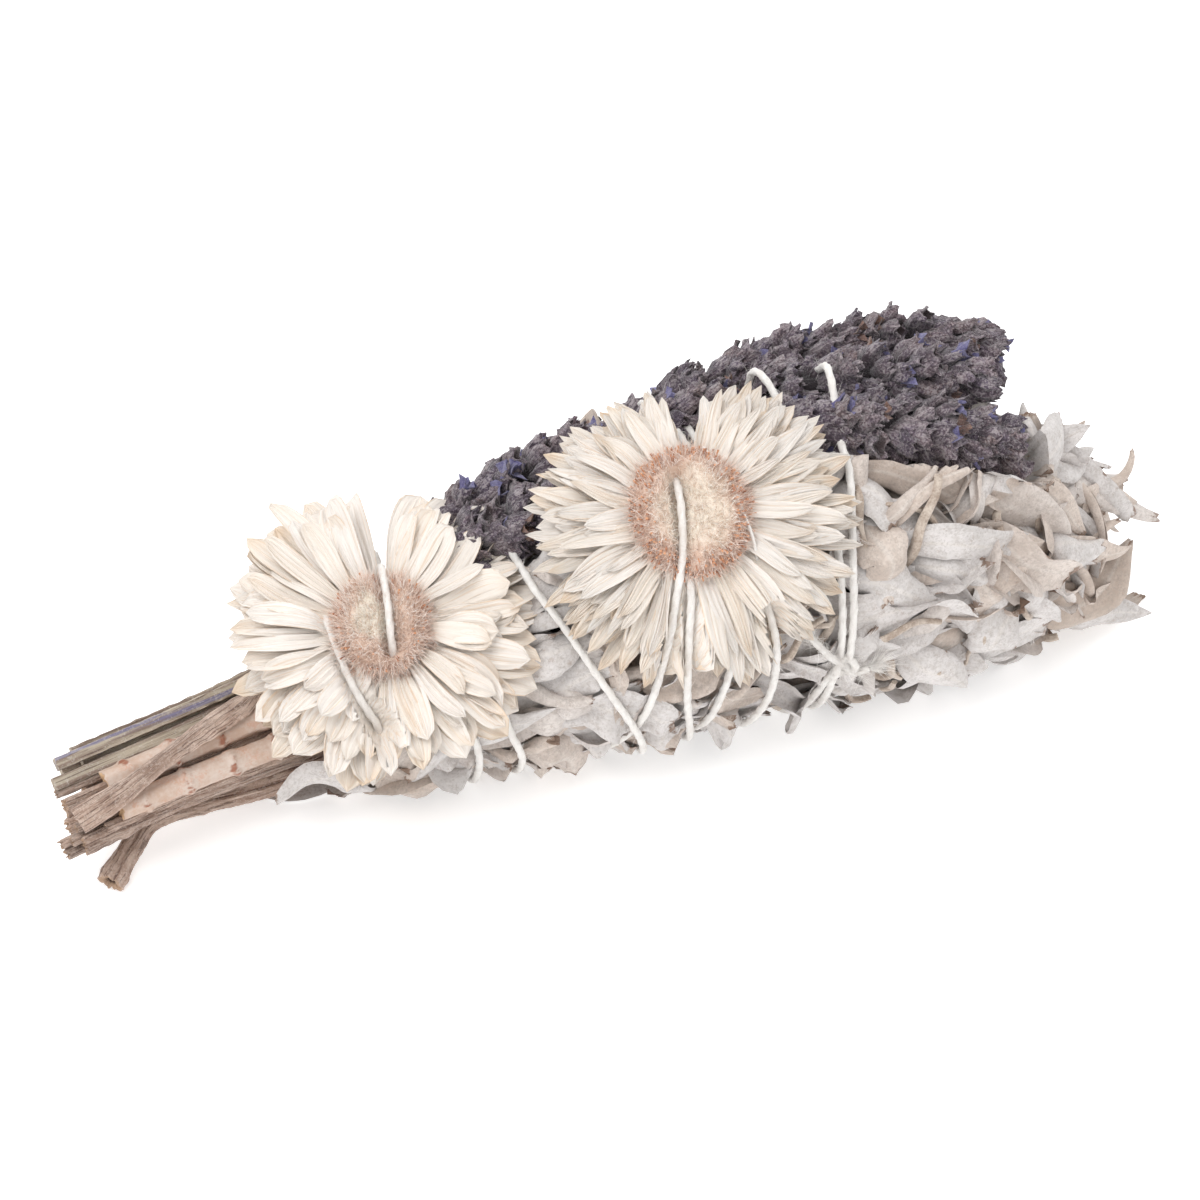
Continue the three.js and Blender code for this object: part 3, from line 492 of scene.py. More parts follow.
class Finish:
    """A material under way: its nodes, its shared groups and its Principled shader."""

    def __init__(self, name, **values):
        self.material = bpy.data.materials.new(name)
        self.material.use_nodes = True
        tree = self.material.node_tree
        self.shader = tree.nodes["Principled BSDF"]
        self.n = Nodes(tree)
        for label, value in values.items():
            self.shader.inputs[label.replace("_", " ")].default_value = value

    def group(self, maker, name, inputs, output):
        group = bpy.data.node_groups.get(name) or maker()
        node = self.n.add("ShaderNodeGroup", node_tree=group)
        for label, value in inputs.items():
            self.n.set(node.inputs[label], value)
        return node.outputs[output]

    def mottle(self, light, dark, scale, share=1.0):
        inputs = {"Light": light, "Dark": dark, "Scale": scale, "Share": share}
        return self.group(mottle_group, "Mottle", inputs, "Color")

    def blotch(self, scale):
        return self.group(mottle_group, "Mottle", {"Scale": scale}, "Value")

    def streaks(self, count, lengthwise, seed=0.0):
        inputs = {"Count": count, "Along": lengthwise, "Seed": seed}
        return self.group(streak_group, "Streaks", inputs, "Value")

    def grain(self, scale, coarse=0.4):
        return self.group(grain_group, "Grain", {"Scale": scale, "Coarse": coarse}, "Height")

    def shaded(self, colour, shade):
        """The colour times a grey."""
        grey = self.n.add("ShaderNodeCombineColor", {0: shade, 1: shade, 2: shade}).outputs[0]
        return self.n.mix(1.0, colour, grey, "MULTIPLY")

    def uv(self):
        where = self.n.add("ShaderNodeTexCoord").outputs["UV"]
        return self.n.add("ShaderNodeSeparateXYZ", {"Vector": where}).outputs

    def done(self, colour, height=None, bump=0.3, distance=0.0002):
        self.n.set(self.shader.inputs["Base Color"], colour)
        if height is not None:
            node = self.n.add("ShaderNodeBump", {"Strength": bump, "Distance": distance, "Height": height})
            self.n.set(self.shader.inputs["Normal"], node.outputs["Normal"])
        return self.material


# ---- Sage stems ----

STEMS = [
    # angle, out, cut, radius, peeled, splay
    (0, 0, -83, 1.7, 0, 0), (20, 3.8, -80, 1.65, 0, 0), (92, 3.8, -85, 1.6, 0, 0),
    (164, 3.8, -82, 1.7, 0, 0), (-124, 3.8, -79, 1.6, 0, 0), (-52, 3.8, -84.5, 1.55, 0, 0),
    (33, 7.7, -78, 2, 1, 0), (71, 7.7, -79, 2.1, 1, 0), (-2, 7.3, -84, 1.45, 0, 0),
    (-37, 7.3, -82, 1.6, 0, 1), (-74, 7.3, -79, 1.5, 0, 0), (-110, 7.3, -80, 1.6, 0, 0),
    (-147, 7.3, -84.5, 1.5, 0, 0), (177, 7.3, -81, 1.5, 0, 0),
]
STEM_SPREAD = [[-88, 0.84], [-68, 0.87], [-58, 0.95], [-43, 1.1]]
STEM_RISE = [[-88, 0.9], [-76, 1.5], [-64, 2.3], [-54, 1.6], [-45, 0]]
STEM_TWIST = 0.25
STEM_TUCK = 0.42
SPLAYED_ROUTE = [(-81.2, -12.2, 1.9), (-76.8, -7.0, 2.6), (-72.6, -3.0, 3.2), (-65, -2.2, 3.4),
                 (-55, -3.4, 4.4), (-43.45, -5.2, 7.4)]
NODE_SPACING = 7
STEM_CORNERS = 36
STEM_SWELL = 0.84
# Thin twigs between the stems: angle, out, cut, radius, the stem whose piece they are in.
TWIGS = [
    (8, 5.7, -85.5, 0.8, 0), (-20, 6.3, -83, 0.9, 8), (-52, 6.2, -81, 0.8, 9), (-92, 6.9, -82.5, 0.8, 10),
    (52, 6.2, -81.5, 0.75, 1), (15, 8.0, -80.5, 0.85, 8), (90, 7.4, -86, 0.7, 2), (74, 6.2, -85, 0.85, 2),
    (-28, 3.4, -86.5, 0.9, 5), (-38, 5.4, -85, 0.8, 5), (-14, 6.0, -86.5, 0.85, 5), (5, 4.4, -87, 0.8, 0),
    (60, 3.9, -84, 0.9, 1), (140, 7.2, -84, 0.9, 3), (-8, 4.6, -81, 1.0, 5), (-60, 3.6, -81.5, 1.0, 5),
    (28, 5.4, -84.5, 0.85, 1), (-30, 5.0, -80, 0.9, 9), (-72, 5.2, -80.5, 0.9, 10), (108, 8.0, -83, 0.8, 2),
    (2, 2.0, -85, 1.0, 0),
]
BARK_STRIP_STEM = 8
BARK_STRIP = [(-84.5, 46, 8.6), (-78, 52, 10.2), (-70, 63, 10.6), (-62, 75, 10.6), (-53, 88, 10.4)]
BARK_STRIP_HALF = 1.9


def risen(points):
    """Points of a stem a little higher towards the cut ends."""
    return points + np.stack([0 * points[:, 0], 0 * points[:, 0], along(STEM_RISE, points[:, 0])], -1)


def stem_route(stem):
    """The stem's way: its angle turns with x, its distance out is spread along x, and low ones are tucked
    in. The splayed one has a way of its own."""
    angle, out, cut, _, _, splay = stem
    if splay:
        return np.array(SPLAYED_ROUTE, float)
    x = np.linspace(cut, STEM_TOP_X, 4)
    tucked = STEM_TUCK * out * np.maximum(0, np.cos(np.radians(angle + 60))) * ease((x + 90) / 12)
    return risen(place(x, angle + STEM_TWIST * (-55 - x), out * along(STEM_SPREAD, x) - tucked))


def add_stem(skin, stem, i):
    """Rings round the stem's way: radius times grooves along it, knots and a rough cut end that dips to its
    pith."""
    _, _, _, radius, peeled, splay = stem
    path = smooth_route(stem_route(stem), 0.5)
    across, over = frames_along(path, np.array([0, 0, 1.0]))
    s = np.linspace(0, 1, len(path))[:, None]
    length = np.linalg.norm(np.diff(path, axis=0), axis=1).sum()
    a = ring_angles(STEM_CORNERS)[None]
    turn = a / (2 * np.pi)
    grooves = (0.12 * np.sin(a * 2 + 7 * draw(41, i, 1) + 1.4 * s)
               + 0.09 * np.sin(a * 5 + 9 * draw(41, i, 2) + 2.2 * s)
               + 0.07 * np.sin(a * 9 + 9 * draw(41, i, 3) - 3 * s))
    wrinkle = waves(s * 4.2, turn * 5, 43 + i, 6, 0.2)
    flat = 1 + 0.16 * np.cos(2 * a + 6 * draw(42, i, 1) + 2 * s)
    if peeled:
        place_along = s * length / NODE_SPACING + 0.12 * waves(s * 2, turn, 61 + i, 3)
        ring = np.exp(-((place_along % 1 - 0.5) / 0.09) ** 2)
        r = radius * (0.9 + 0.19 * ring + 0.35 * grooves + 0.7 * wrinkle * ring + 0.25 * wrinkle)
    else:
        knot = sum(np.exp(-((s - draw(44 + i, k, 1)) / 0.02) ** 2) for k in range(3))
        r = radius * STEM_SWELL * (0.96 + grooves + wrinkle + 0.14 * knot) * flat
        r = r * (1 + 0.2 * splay * np.exp(-s / 0.12))
    ragged = 0.7 * waves(turn * 3, 0 * s[:1], 71 + i, 4)
    tangent = unit(np.gradient(path, axis=0))
    rings = tube(path, across, over, r, a)
    rings[:2] += tangent[:2, None] * ragged[..., None] * np.array([1, 0.6])[:, None, None]
    centre = rings[0].mean(axis=0)
    spokes = rings[0] - centre
    hollow = 0.36 if splay else 0.3
    cut = [centre + spokes * share + tangent[0] * depth for share, depth in
           ((hollow * 0.8, 1.8), (hollow, 0.5), (hollow + 0.2, 0.05), (0.82, -0.08))]
    rings = np.concatenate([np.stack(cut), rings])
    kind = np.concatenate([[1.0, 0.9, 0.6, 0.5], np.zeros(len(path))])[:, None] * np.ones(STEM_CORNERS)
    v = np.concatenate([[-0.06, -0.04, -0.03, -0.01], np.linspace(0, 1, len(path))])
    skin.add(rings, lengthwise=v, tone=draw(45, i, 1), kind=kind[None])


def add_bark_strip(skin):
    """A wide flat strip of bark aslant over the peeled stem: an arched blade along its own route."""
    x, angle, radius = np.array(BARK_STRIP).T
    path = smooth_route(risen(place(x, angle, radius)), 0.6)
    across, over = frames_along(path, outward_at(unplace(path)[1]))
    t = np.linspace(0, 1, len(path))
    half = BARK_STRIP_HALF * (0.9 + 0.18 * np.sin(2 * np.pi * (1.3 * t + 0.2)))
    half = half * np.minimum(1, (1.06 - t) / 0.2)

    def camber(s):
        return -0.42 * s ** 2 * half[:, None] + waves(t[:, None] * 3, s, 95, 5, 0.45)

    sideways, upwards, u, s = arched_blade(half, 0.9, camber, 11)
    rings = carried(path, across, over, sideways, upwards)
    rings[0] -= unit(path[1] - path[0]) * (0.6 * waves(s, 0 * s, 97, 3))[:, None]
    skin.add(rings, around=u, tone=0.9)


def bark_material():
    """Grey-brown bark: streaks along the stem, dark wrinkles between them and a paler cut end."""
    f = Finish("sage_wood", Roughness=0.85, Sheen_Weight=0.15, Sheen_Roughness=0.5)
    n = f.n
    light, dark, line = rgb(203, 180, 165), rgb(156, 128, 112), rgb(78, 54, 42)
    streak = f.streaks(8.0, 5.0, n.mark("tone"))
    fine = f.streaks(26.4, 9.0, n.mark("tone"))
    colour = f.mottle(light, dark, 300.0, 0.8)
    colour = n.over(colour, n.remap(streak, 0.46, 0.64), 0.85, dark)
    colour = n.over(colour, n.remap(fine, 0.5, 0.62), 0.7, line)
    colour = n.over(colour, n.remap(f.grain(2600.0), 0.7, 0.9), 0.5, rgb(212, 194, 182))
    colour = f.shaded(colour, n.remap(n.mark("tone"), 0.0, 1.0, 0.76, 1.14))
    cut = n.mix(n.remap(n.mark("kind"), 0.75, 1.0), rgb(172, 142, 118), rgb(70, 46, 36))
    colour = n.mix(n.remap(n.mark("kind"), 0.1, 0.45), colour, cut)
    lines = n.math("ADD", streak, n.math("MULTIPLY", fine, 0.8))
    height = n.math("MULTIPLY_ADD", f.grain(2400.0), 0.4, lines)
    return f.done(colour, height, 1.0, 0.0005)


def peeled_material():
    """Peeled wood: cream to peach, with red-brown scars round its knots."""
    f = Finish("peeled_sage_wood", Roughness=0.62, Coat_Weight=0.04)
    n = f.n
    colour = f.mottle(rgb(204, 187, 175), rgb(190, 161, 142), 190.0, 0.9)
    length = n.math("MULTIPLY", f.uv()["Y"], 5.1)
    wobble = n.math("MULTIPLY_ADD", f.streaks(4.0, 5.0), 0.55, n.math("ADD", length, -0.27))
    ring = n.math("ABSOLUTE", n.math("SUBTRACT", n.math("FRACT", wobble), 0.5))
    scar = n.math("MULTIPLY", n.remap(ring, 0.13, 0.03), n.remap(f.streaks(7.0, 16.0), 0.44, 0.6))
    colour = n.mix(scar, colour, rgb(150, 98, 76))
    patch = n.math("MULTIPLY", n.remap(f.blotch(420.0), 0.7, 1.0), 0.3)
    colour = n.mix(patch, colour, rgb(196, 128, 92))
    colour = n.over(colour, n.remap(f.streaks(30.0, 3.0), 0.5, 0.75), 0.4, rgb(190, 160, 138))
    cut = n.mix(n.remap(n.mark("kind"), 0.75, 1.0), rgb(214, 178, 140), rgb(120, 88, 66))
    colour = n.mix(n.remap(n.mark("kind"), 0.1, 0.45), colour, cut)
    height = n.math("ADD", n.math("MULTIPLY", f.streaks(26.0, 4.0), 0.5), n.math("MULTIPLY", scar, 0.6))
    return f.done(colour, height, 0.6, 0.0003)


# ---- Where the string, the heads and the lavender press on the leaves ----

STRING_R = 0.8
STRING_TURNS = [
    [27, -10, 1.6], [25, -60, 1], [22, -120, 1], [19, -180, 1],
    [16, 135, -2.4], [13, 90, -3.8], [12, 55, -1.4], [10.5, 9, 0.8], [8.9, -16, 0.6], [7.8, -33, 0.4],
    [6, -80, 0.6], [6, -140, 0.6], [6.5, -200, 1],
    [7, 120, -3.2], [7.6, 92, -3.8], [6.4, 74, 0.6], [5.2, 59, 7.2], [3.2, 43, 7.4], [1, 30.5, 6.2],
    [-0.5, 17.5, 4.4], [-3.4, -19, 0.8], [-9, -70, 0.4],
    [-19, -130, 0.4], [-30, -190, 0.8],
    [-38, 145, 1.5], [-43.2, 93, 5.2], [-43.9, 78, 8.1], [-43.2, 48, 7.0], [-40.6, 26, 3.6], [-39.6, 4, -1.6],
    [-37, -35, -1.6], [-35, -90, 0.6], [-33, -150, 1.2], [-32, -200, 1.8],
    [-32, 125, 2.6], [-33, 106, 2.2], [-34.3, 88, 6.4], [-35.6, 72, 7.4], [-36.9, 55, 7], [-36.6, 44, 3.4],
    [-33.6, 28, 1.2], [-28, 5, 1.2], [-26.6, -10, 1.2],
    [-25, -60, 1], [-24, -120, 1], [-25, -190, 1.4],
    [-26, 135, 0.4], [-26, 100, 0.2], [-25, 60, 0.6], [-23, 30, 0.8], [-22.7, 4.5, 1.4], [-20, -22, 1],
    [-18, -70, 1], [-18, -130, 1], [-18, -190, 1.4],
    [-17, 130, -1.4], [-16.6, 100, -1.6], [-16, 72, -1.2], [-15.5, 51, 1.4], [-13.3, 36, 1.2], [-9, 9, 1.2],
    [-3.4, -21, 2], [0, -50, 1.2], [3, -110, 1], [5, -180, 1],
    [6, 135, -2.4], [5, 90, -4.4], [4.2, 46, 3], [3.5, 33, 6], [2.6, 18.5, 4.6], [3, -5.5, 2.2],
    [6.5, -42, 1.2], [10, -90, 1], [13, -150, 1], [15, -200, 1],
    [15, 135, -2.4], [15, 90, -4.4], [14.6, 45, -1.4], [14.6, 28, 1.2], [14.6, 19.5, 3.8], [16, 5, 2.6],
    [16.6, -18, 1.1], [15.8, -41, 1], [19, -80, 1], [22, -150, 1], [24, -205, 1],
    [25, 130, -3], [25.2, 101, -3.2], [25.4, 94, 1.4], [26, 86, 1.2], [26.6, 68, -2.2], [27.2, 40, 0.8],
    [26.8, 8, 1], [26.6, -10, 1.2], [29, -60, 1], [32, -120, 1], [35, -180, 1],
    [36, 135, -3], [35.6, 98, -3.4], [34.8, 84, 1.7], [33.8, 74, 0.6], [32.8, 62, -1.6], [31.5, 50, 0.8],
    [29, 24, 1], [28.4, 5, 1.2], [28, -9, 1.8],
]
KNOT_AT = [27.3, -11, 2]
KNOT_R = 1.5
TAILS = [
    [[27, -10, 1.8], [24.5, -4, 2.4], [20.1, 8.5, 2.4]],
    [[27, -10, 1.8], [29, -14, 2.2], [31, -12.6, 2.6]],
]
# The stretches of string, by their first and last rows above, over each head's bracts and over its disc.
OVER_BRACTS = [[(26, 28)], [(17, 20), (68, 70), (79, 80)]]
OVER_DISC = [[(36, 38)], [(16, 18)]]

STRAWFLOWERS = [
    {"x": -35.9, "angle": 66, "lean": -14, "disc": 7.8, "tips": 0.75},
    {"x": 7, "angle": 51.5, "lean": -11, "disc": 8.6, "tips": 0.35},
]
HEAD_SPREAD_R = 22.5
HEAD_BEND_R = 42
HEAD_LIFT = 1.2
RECEPTACLE_H = 4
DISC_H = 2

# Each spike from its base to its tip as (x, angle), how far it lies over the part's as [share of its length,
# rise], and its stalk's way from the cut end to the base as [x, angle, radius].
LAVENDER = [
    {"from": (28, 127), "to": (69, 101),
     "rise": [[-0.26, -2.6], [0, -0.6], [0.3, 0.2], [0.62, 3], [1, 7.4]],
     "stalk": [[-84, 138, 7.4], [-58, 138, 7.4], [-43, 134, 8.6], [-20, 114, 8.2], [0, 115, 12],
               [15, 120, 15]]},
    {"from": (20, 101), "to": (59, 76),
     "rise": [[-0.26, -3], [0.1, -0.8], [0.3, -0.2], [0.62, 0.8], [1.06, 4.6]],
     "stalk": [[-81, 121, 7.4], [-58, 121, 7.4], [-43, 117, 8.6], [-20, 97, 8.2], [0, 98, 12], [10, 99, 14]]},
    {"from": (29, 73), "to": (62, 51),
     "rise": [[-0.12, 0], [0.62, 0.15], [1, 0.8]],
     "stalk": [[-86, 104, 7.4], [-58, 104, 7.4], [-43, 100, 8.6], [-20, 80, 8.2], [0, 79, 11.5],
               [16, 76, 15.5]]},
    {"from": (-25, 119), "to": (14, 118),
     "rise": [[0, 2.6], [0.25, 2.8], [0.45, 2], [0.62, 0.6], [0.8, -2.8], [1, -2.8]],
     "stalk": [[-82, 130, 9.7], [-58, 130, 9.7], [-43, 125, 11]]},
    {"from": (-24, 86), "to": (12, 87),
     "rise": [[0, 2.6], [0.25, 2.6], [0.5, -1], [0.8, -3.4], [1, -3]],
     "stalk": [[-85, 112, 9.7], [-58, 112, 9.7], [-43, 103, 11]]},
    {"from": (2, 156), "to": (43, 155),
     "rise": [[0, 0], [1, 1]],
     "stalk": [[-83, 155, 7.4], [-58, 155, 7.4], [-43, 152, 9.2], [-15, 152, 13.5]]},
]
SPIKE_R = 5
STALK_R = 0.9

# How what lies under a thing gives way: the room round a spike, how far under the outline string still
# presses on leaves, how steeply a groove under string rises, and the limits below a head.
LAVENDER_CLEAR = 1.1
BURIED_STRING = 0.9
LEAF_GROOVE = 0.28
BRACT_GROOVE = 0.85
DISC_GROOVE = 0.42
UNDER_HEAD = -0.4
CONE_FROM = 18.5
CONE_TO = 27
SQUEEZED_H = 2.5


def on_outline(rows):
    """Points from rows of x, angle and height over the outline."""
    x, angle, height = np.asarray(rows, float).T
    return place(x, angle, outline(x) + height)


def string_path(step):
    return smooth_route(on_outline(STRING_TURNS), step)


def stretch_of_string(first, last):
    return smooth_route(on_outline(STRING_TURNS[first:last + 1]), 0.5)


def spike_radius(t):
    """Slim at both ends: R (1 + sin(pi (0.12 + 0.8 t))^0.7) / 2."""
    return SPIKE_R * (0.5 + 0.5 * np.sin(np.pi * np.clip(0.12 + 0.8 * t, 0, 1)) ** 0.7)


def spike_reach(lavender):
    """From where to where the calyces go, as shares of the spike's length."""
    return lavender["rise"][0][0], lavender["rise"][-1][0]


def spike_line(lavender, t):
    """The spike's middle line, one radius below the outline, at shares t of its length."""
    x = between(lavender["from"][0], lavender["to"][0], t)
    angle = between(lavender["from"][1], lavender["to"][1], t)
    return place(x, angle, outline(x) - spike_radius(t) + 0.4)


def head_frame(flower):
    """The head's place, its axis n, and the directions e along the bunch and f round it."""
    a, b = math.radians(flower["angle"]), math.radians(flower["lean"])
    n = np.array([math.sin(b), -math.cos(a) * math.cos(b), math.sin(a) * math.cos(b)])
    e = unit(np.array([1.0, 0, 0]) - n * n[0])
    return on_outline([[flower["x"], flower["angle"], HEAD_LIFT]])[0], n, e, np.cross(n, e)


def head_points(head, distance, turn, rise):
    """Points at a distance from the head's axis, an angle round it in radians and a rise, bent round the
    bunch."""
    at, n, e, f = head
    distance, turn, rise = np.broadcast_arrays(distance, turn, rise)
    u, v = distance * np.cos(turn), distance * np.sin(turn)
    r = HEAD_BEND_R + rise
    return (at + u[..., None] * e + (r * np.sin(v / HEAD_BEND_R))[..., None] * f
            + (r * np.cos(v / HEAD_BEND_R) - HEAD_BEND_R)[..., None] * n)


def pressed_by_heads(points):
    """Lowers what stands in a head: its rise stays under UNDER_HEAD, and under a cone beyond CONE_FROM from
    the axis, which ends at CONE_TO."""
    for flower in STRAWFLOWERS:
        at, n, e, f = head_frame(flower)
        d = points - at
        u, w, q = d @ e, d @ f, d @ n + HEAD_BEND_R
        r = np.hypot(w, q)
        v = HEAD_BEND_R * np.arctan2(w, q)
        distance = np.hypot(u, v)
        limit = UNDER_HEAD + 0.9 * np.maximum(0, distance - CONE_FROM)
        rise = np.where(distance < CONE_TO, np.minimum(r - HEAD_BEND_R, limit), r - HEAD_BEND_R)
        r = HEAD_BEND_R + rise
        swing = v / HEAD_BEND_R
        points = at + u[..., None] * e + (r * np.sin(swing))[..., None] * f + (
            r * np.cos(swing) - HEAD_BEND_R)[..., None] * n
    return points


def pressed_under(points, line, radii, slope):
    """Lowers points under a line on the bunch: radius <= line's radius - depth, where the depth fades
    sideways.

    For each point the nearest place on the line is found by x and by the arc round the bunch. radii are the
    line's own half thicknesses. Without slope the line leaves a groove of its own round shape. With slope
    the limit rises by q + 0.2 q^2, where q is slope times the square of the distance aside less 0.3, up to
    a q of 8.
    """
    shape = points.shape
    flat = points.reshape(-1, 3)
    x, angle, radius = unplace(flat)
    lx, la, lr = unplace(line)
    out = radius.copy()
    for start in range(0, len(flat), 8000):
        part = slice(start, start + 8000)
        arc = np.radians((angle[part, None] - la[None] + 180) % 360 - 180) * lr[None]
        d2 = (x[part, None] - lx[None]) ** 2 + arc ** 2
        near = d2.argmin(axis=1)
        d2 = d2[np.arange(len(near)), near]
        own = radii[near] if np.ndim(radii) else radii
        if slope:
            rise = slope * np.maximum(0, d2 - 0.3)
            limit = np.where(rise < 8, lr[near] - own * 0.9 + rise + 0.2 * rise ** 2, np.inf)
        else:
            limit = np.where(d2 < own ** 2, lr[near] - np.sqrt(np.maximum(own ** 2 - d2, 0)), np.inf)
        out[part] = np.minimum(radius[part], limit)
    return place(x, angle, out).reshape(shape)


def off_table(z):
    """Heights over the table: those under h = SQUEEZED_H are squeezed to h exp(z / h - 1), so that none
    reach it."""
    h = SQUEEZED_H
    return FLOOR_CLEAR + np.where(z > h, z, h * np.exp(np.minimum(z, h) / h - 1))


def settle(points):
    """Leaves give way to the string, to the heads, to the lavender and to the table."""
    for lavender in LAVENDER:
        t = np.linspace(*spike_reach(lavender), 40)
        points = pressed_under(points, spike_line(lavender, t), spike_radius(t) + LAVENDER_CLEAR, 0)
    points = pressed_by_heads(points)
    path = string_path(1.4)
    x, _, radius = unplace(path)
    on_leaves = radius > outline(x) - BURIED_STRING
    points = pressed_under(points, path[on_leaves], STRING_R, LEAF_GROOVE)
    points[..., 2] = off_table(points[..., 2])
    return points


# ---- Sage leaves ----

WEDGES = [
    {"from": 30, "to": 74, "height": 0, "under": 0}, {"from": -15, "to": 30, "height": 0, "under": 0},
    {"from": -60, "to": -15, "height": 0.3, "under": 0}, {"from": -105, "to": -60, "height": 0.9, "under": 0},
    {"from": -150, "to": -105, "height": 0.5, "under": 0},
    {"from": -194, "to": -150, "height": 0, "under": 0},
    {"from": 74, "to": 166, "height": 0, "under": 1},
]
UNDER_LAVENDER = [[-44, 0], [-22, 10.8], [92, 7.8]]
LEAVES_PER_WEDGE = 8
LEAVES_UNDER_LAVENDER = 6
LEAF_CORNERS = 11
LEAF_STATIONS = 20
LEAF_THICK = 0.42
# Each wedge's single leaves as the part has them: x, angle, length, width, turn, height, tip, fold, twist.
LOOSE_LEAVES = [
    [(52, 40, 39, 7.2, 2, 1, 3, 0.3, 20), (52, 65, 26, 8, 3, -7, 9, -0.3, -38)],
    [(30, 17, 30, 7, -14, 0.6, 0, 0.2, 10), (54, 10, 30, 7, 6, 0, 3, 0.4, -30)],
    [(58, -34, 34, 8, -4, 1, 6, 0.3, 25), (40, -28, 26, 8, 4, 0.8, 1, -0.2, 20),
     (-38, -14, -17, 6, 4, 0.8, 0.6, 0.4, 30)],
    [(50, -80, 32, 8, 4, 0, 3, 0.2, 10), (-36, -84, -18, 7, 0, 1.6, 1, 0.2, 10)],
    [(50, -128, 36, 8, 4, 0, 3, -0.3, -30)],
    [(50, -172, 38, 8, -3, 0.5, 4, 0.3, 25), (-38, -170, -17, 7, 0, 1.8, 2, 0.3, -20)],
    [(54, 126, 36, 8, 0, 3, 9, 0.3, 25), (56, 88, 25, 8, 0, -2, 15, -0.3, -25)],
]
# Leaves and the ranges they are drawn from: where the root is, the height of the middle and the tip over
# the outline, length and width, heading in the surface and how much it bends, roll and twist about the
# midrib, how far the sides curl, the fold at the midrib, the share of the length that is left, and how deep
# the root is.
LEAF_KEYS = ("x", "height", "tip", "length", "width", "heading", "bend", "roll", "twist", "curl", "fold",
             "cut", "depth")
LEAF_KINDS = [
    # broad ones lying over each other
    ((-45, 64), (-3.2, 0.6), (-4.0, 1.4), (16, 29), (6.2, 10), (-46, 40), (-60, 60), (-35, 35), (-50, 50),
     (-1.0, 1.0), (-0.5, 0.5), (0.72, 1.2), (0.1, 0.3)),
    # crumpled scraps at all angles
    ((-43, 68), (-2.6, 0.6), (-3.2, 1.4), (8, 14), (4.5, 8), (-180, 180), (-90, 90), (-70, 70), (-90, 90),
     (-1.5, 1.5), (-0.7, 0.7), (0.55, 1.0), (0.05, 0.2)),
    # rolled into tubes
    ((-36, 68), (-1.8, 0.6), (-2.2, 1.8), (11, 20), (7, 10.5), (-80, 70), (-80, 80), (-90, 90), (-60, 60),
     (2.0, 3.0), (-0.1, 0.1), (0.6, 0.9), (0.1, 0.2)),
    # narrow twisted strips, half rolled
    ((-25, 72), (-1.2, 1.2), (-2.4, 2.2), (14, 27), (2.6, 4.8), (-70, 70), (-120, 120), (-90, 90),
     (-220, 220), (1.2, 2.6), (-0.6, 0.6), (0.7, 1.2), (0.1, 0.25)),
    # loose ones at the free end
    ((48, 76), (-4.5, 0.6), (-5.5, 3.6), (10, 20), (4.5, 8.5), (-85, 85), (-100, 100), (-80, 80), (-130, 130),
     (-1.9, 1.9), (-0.6, 0.6), (0.6, 1.2), (0.15, 0.4)),
]
LEAF_COUNTS = (30, 9, 11, 13, 13)
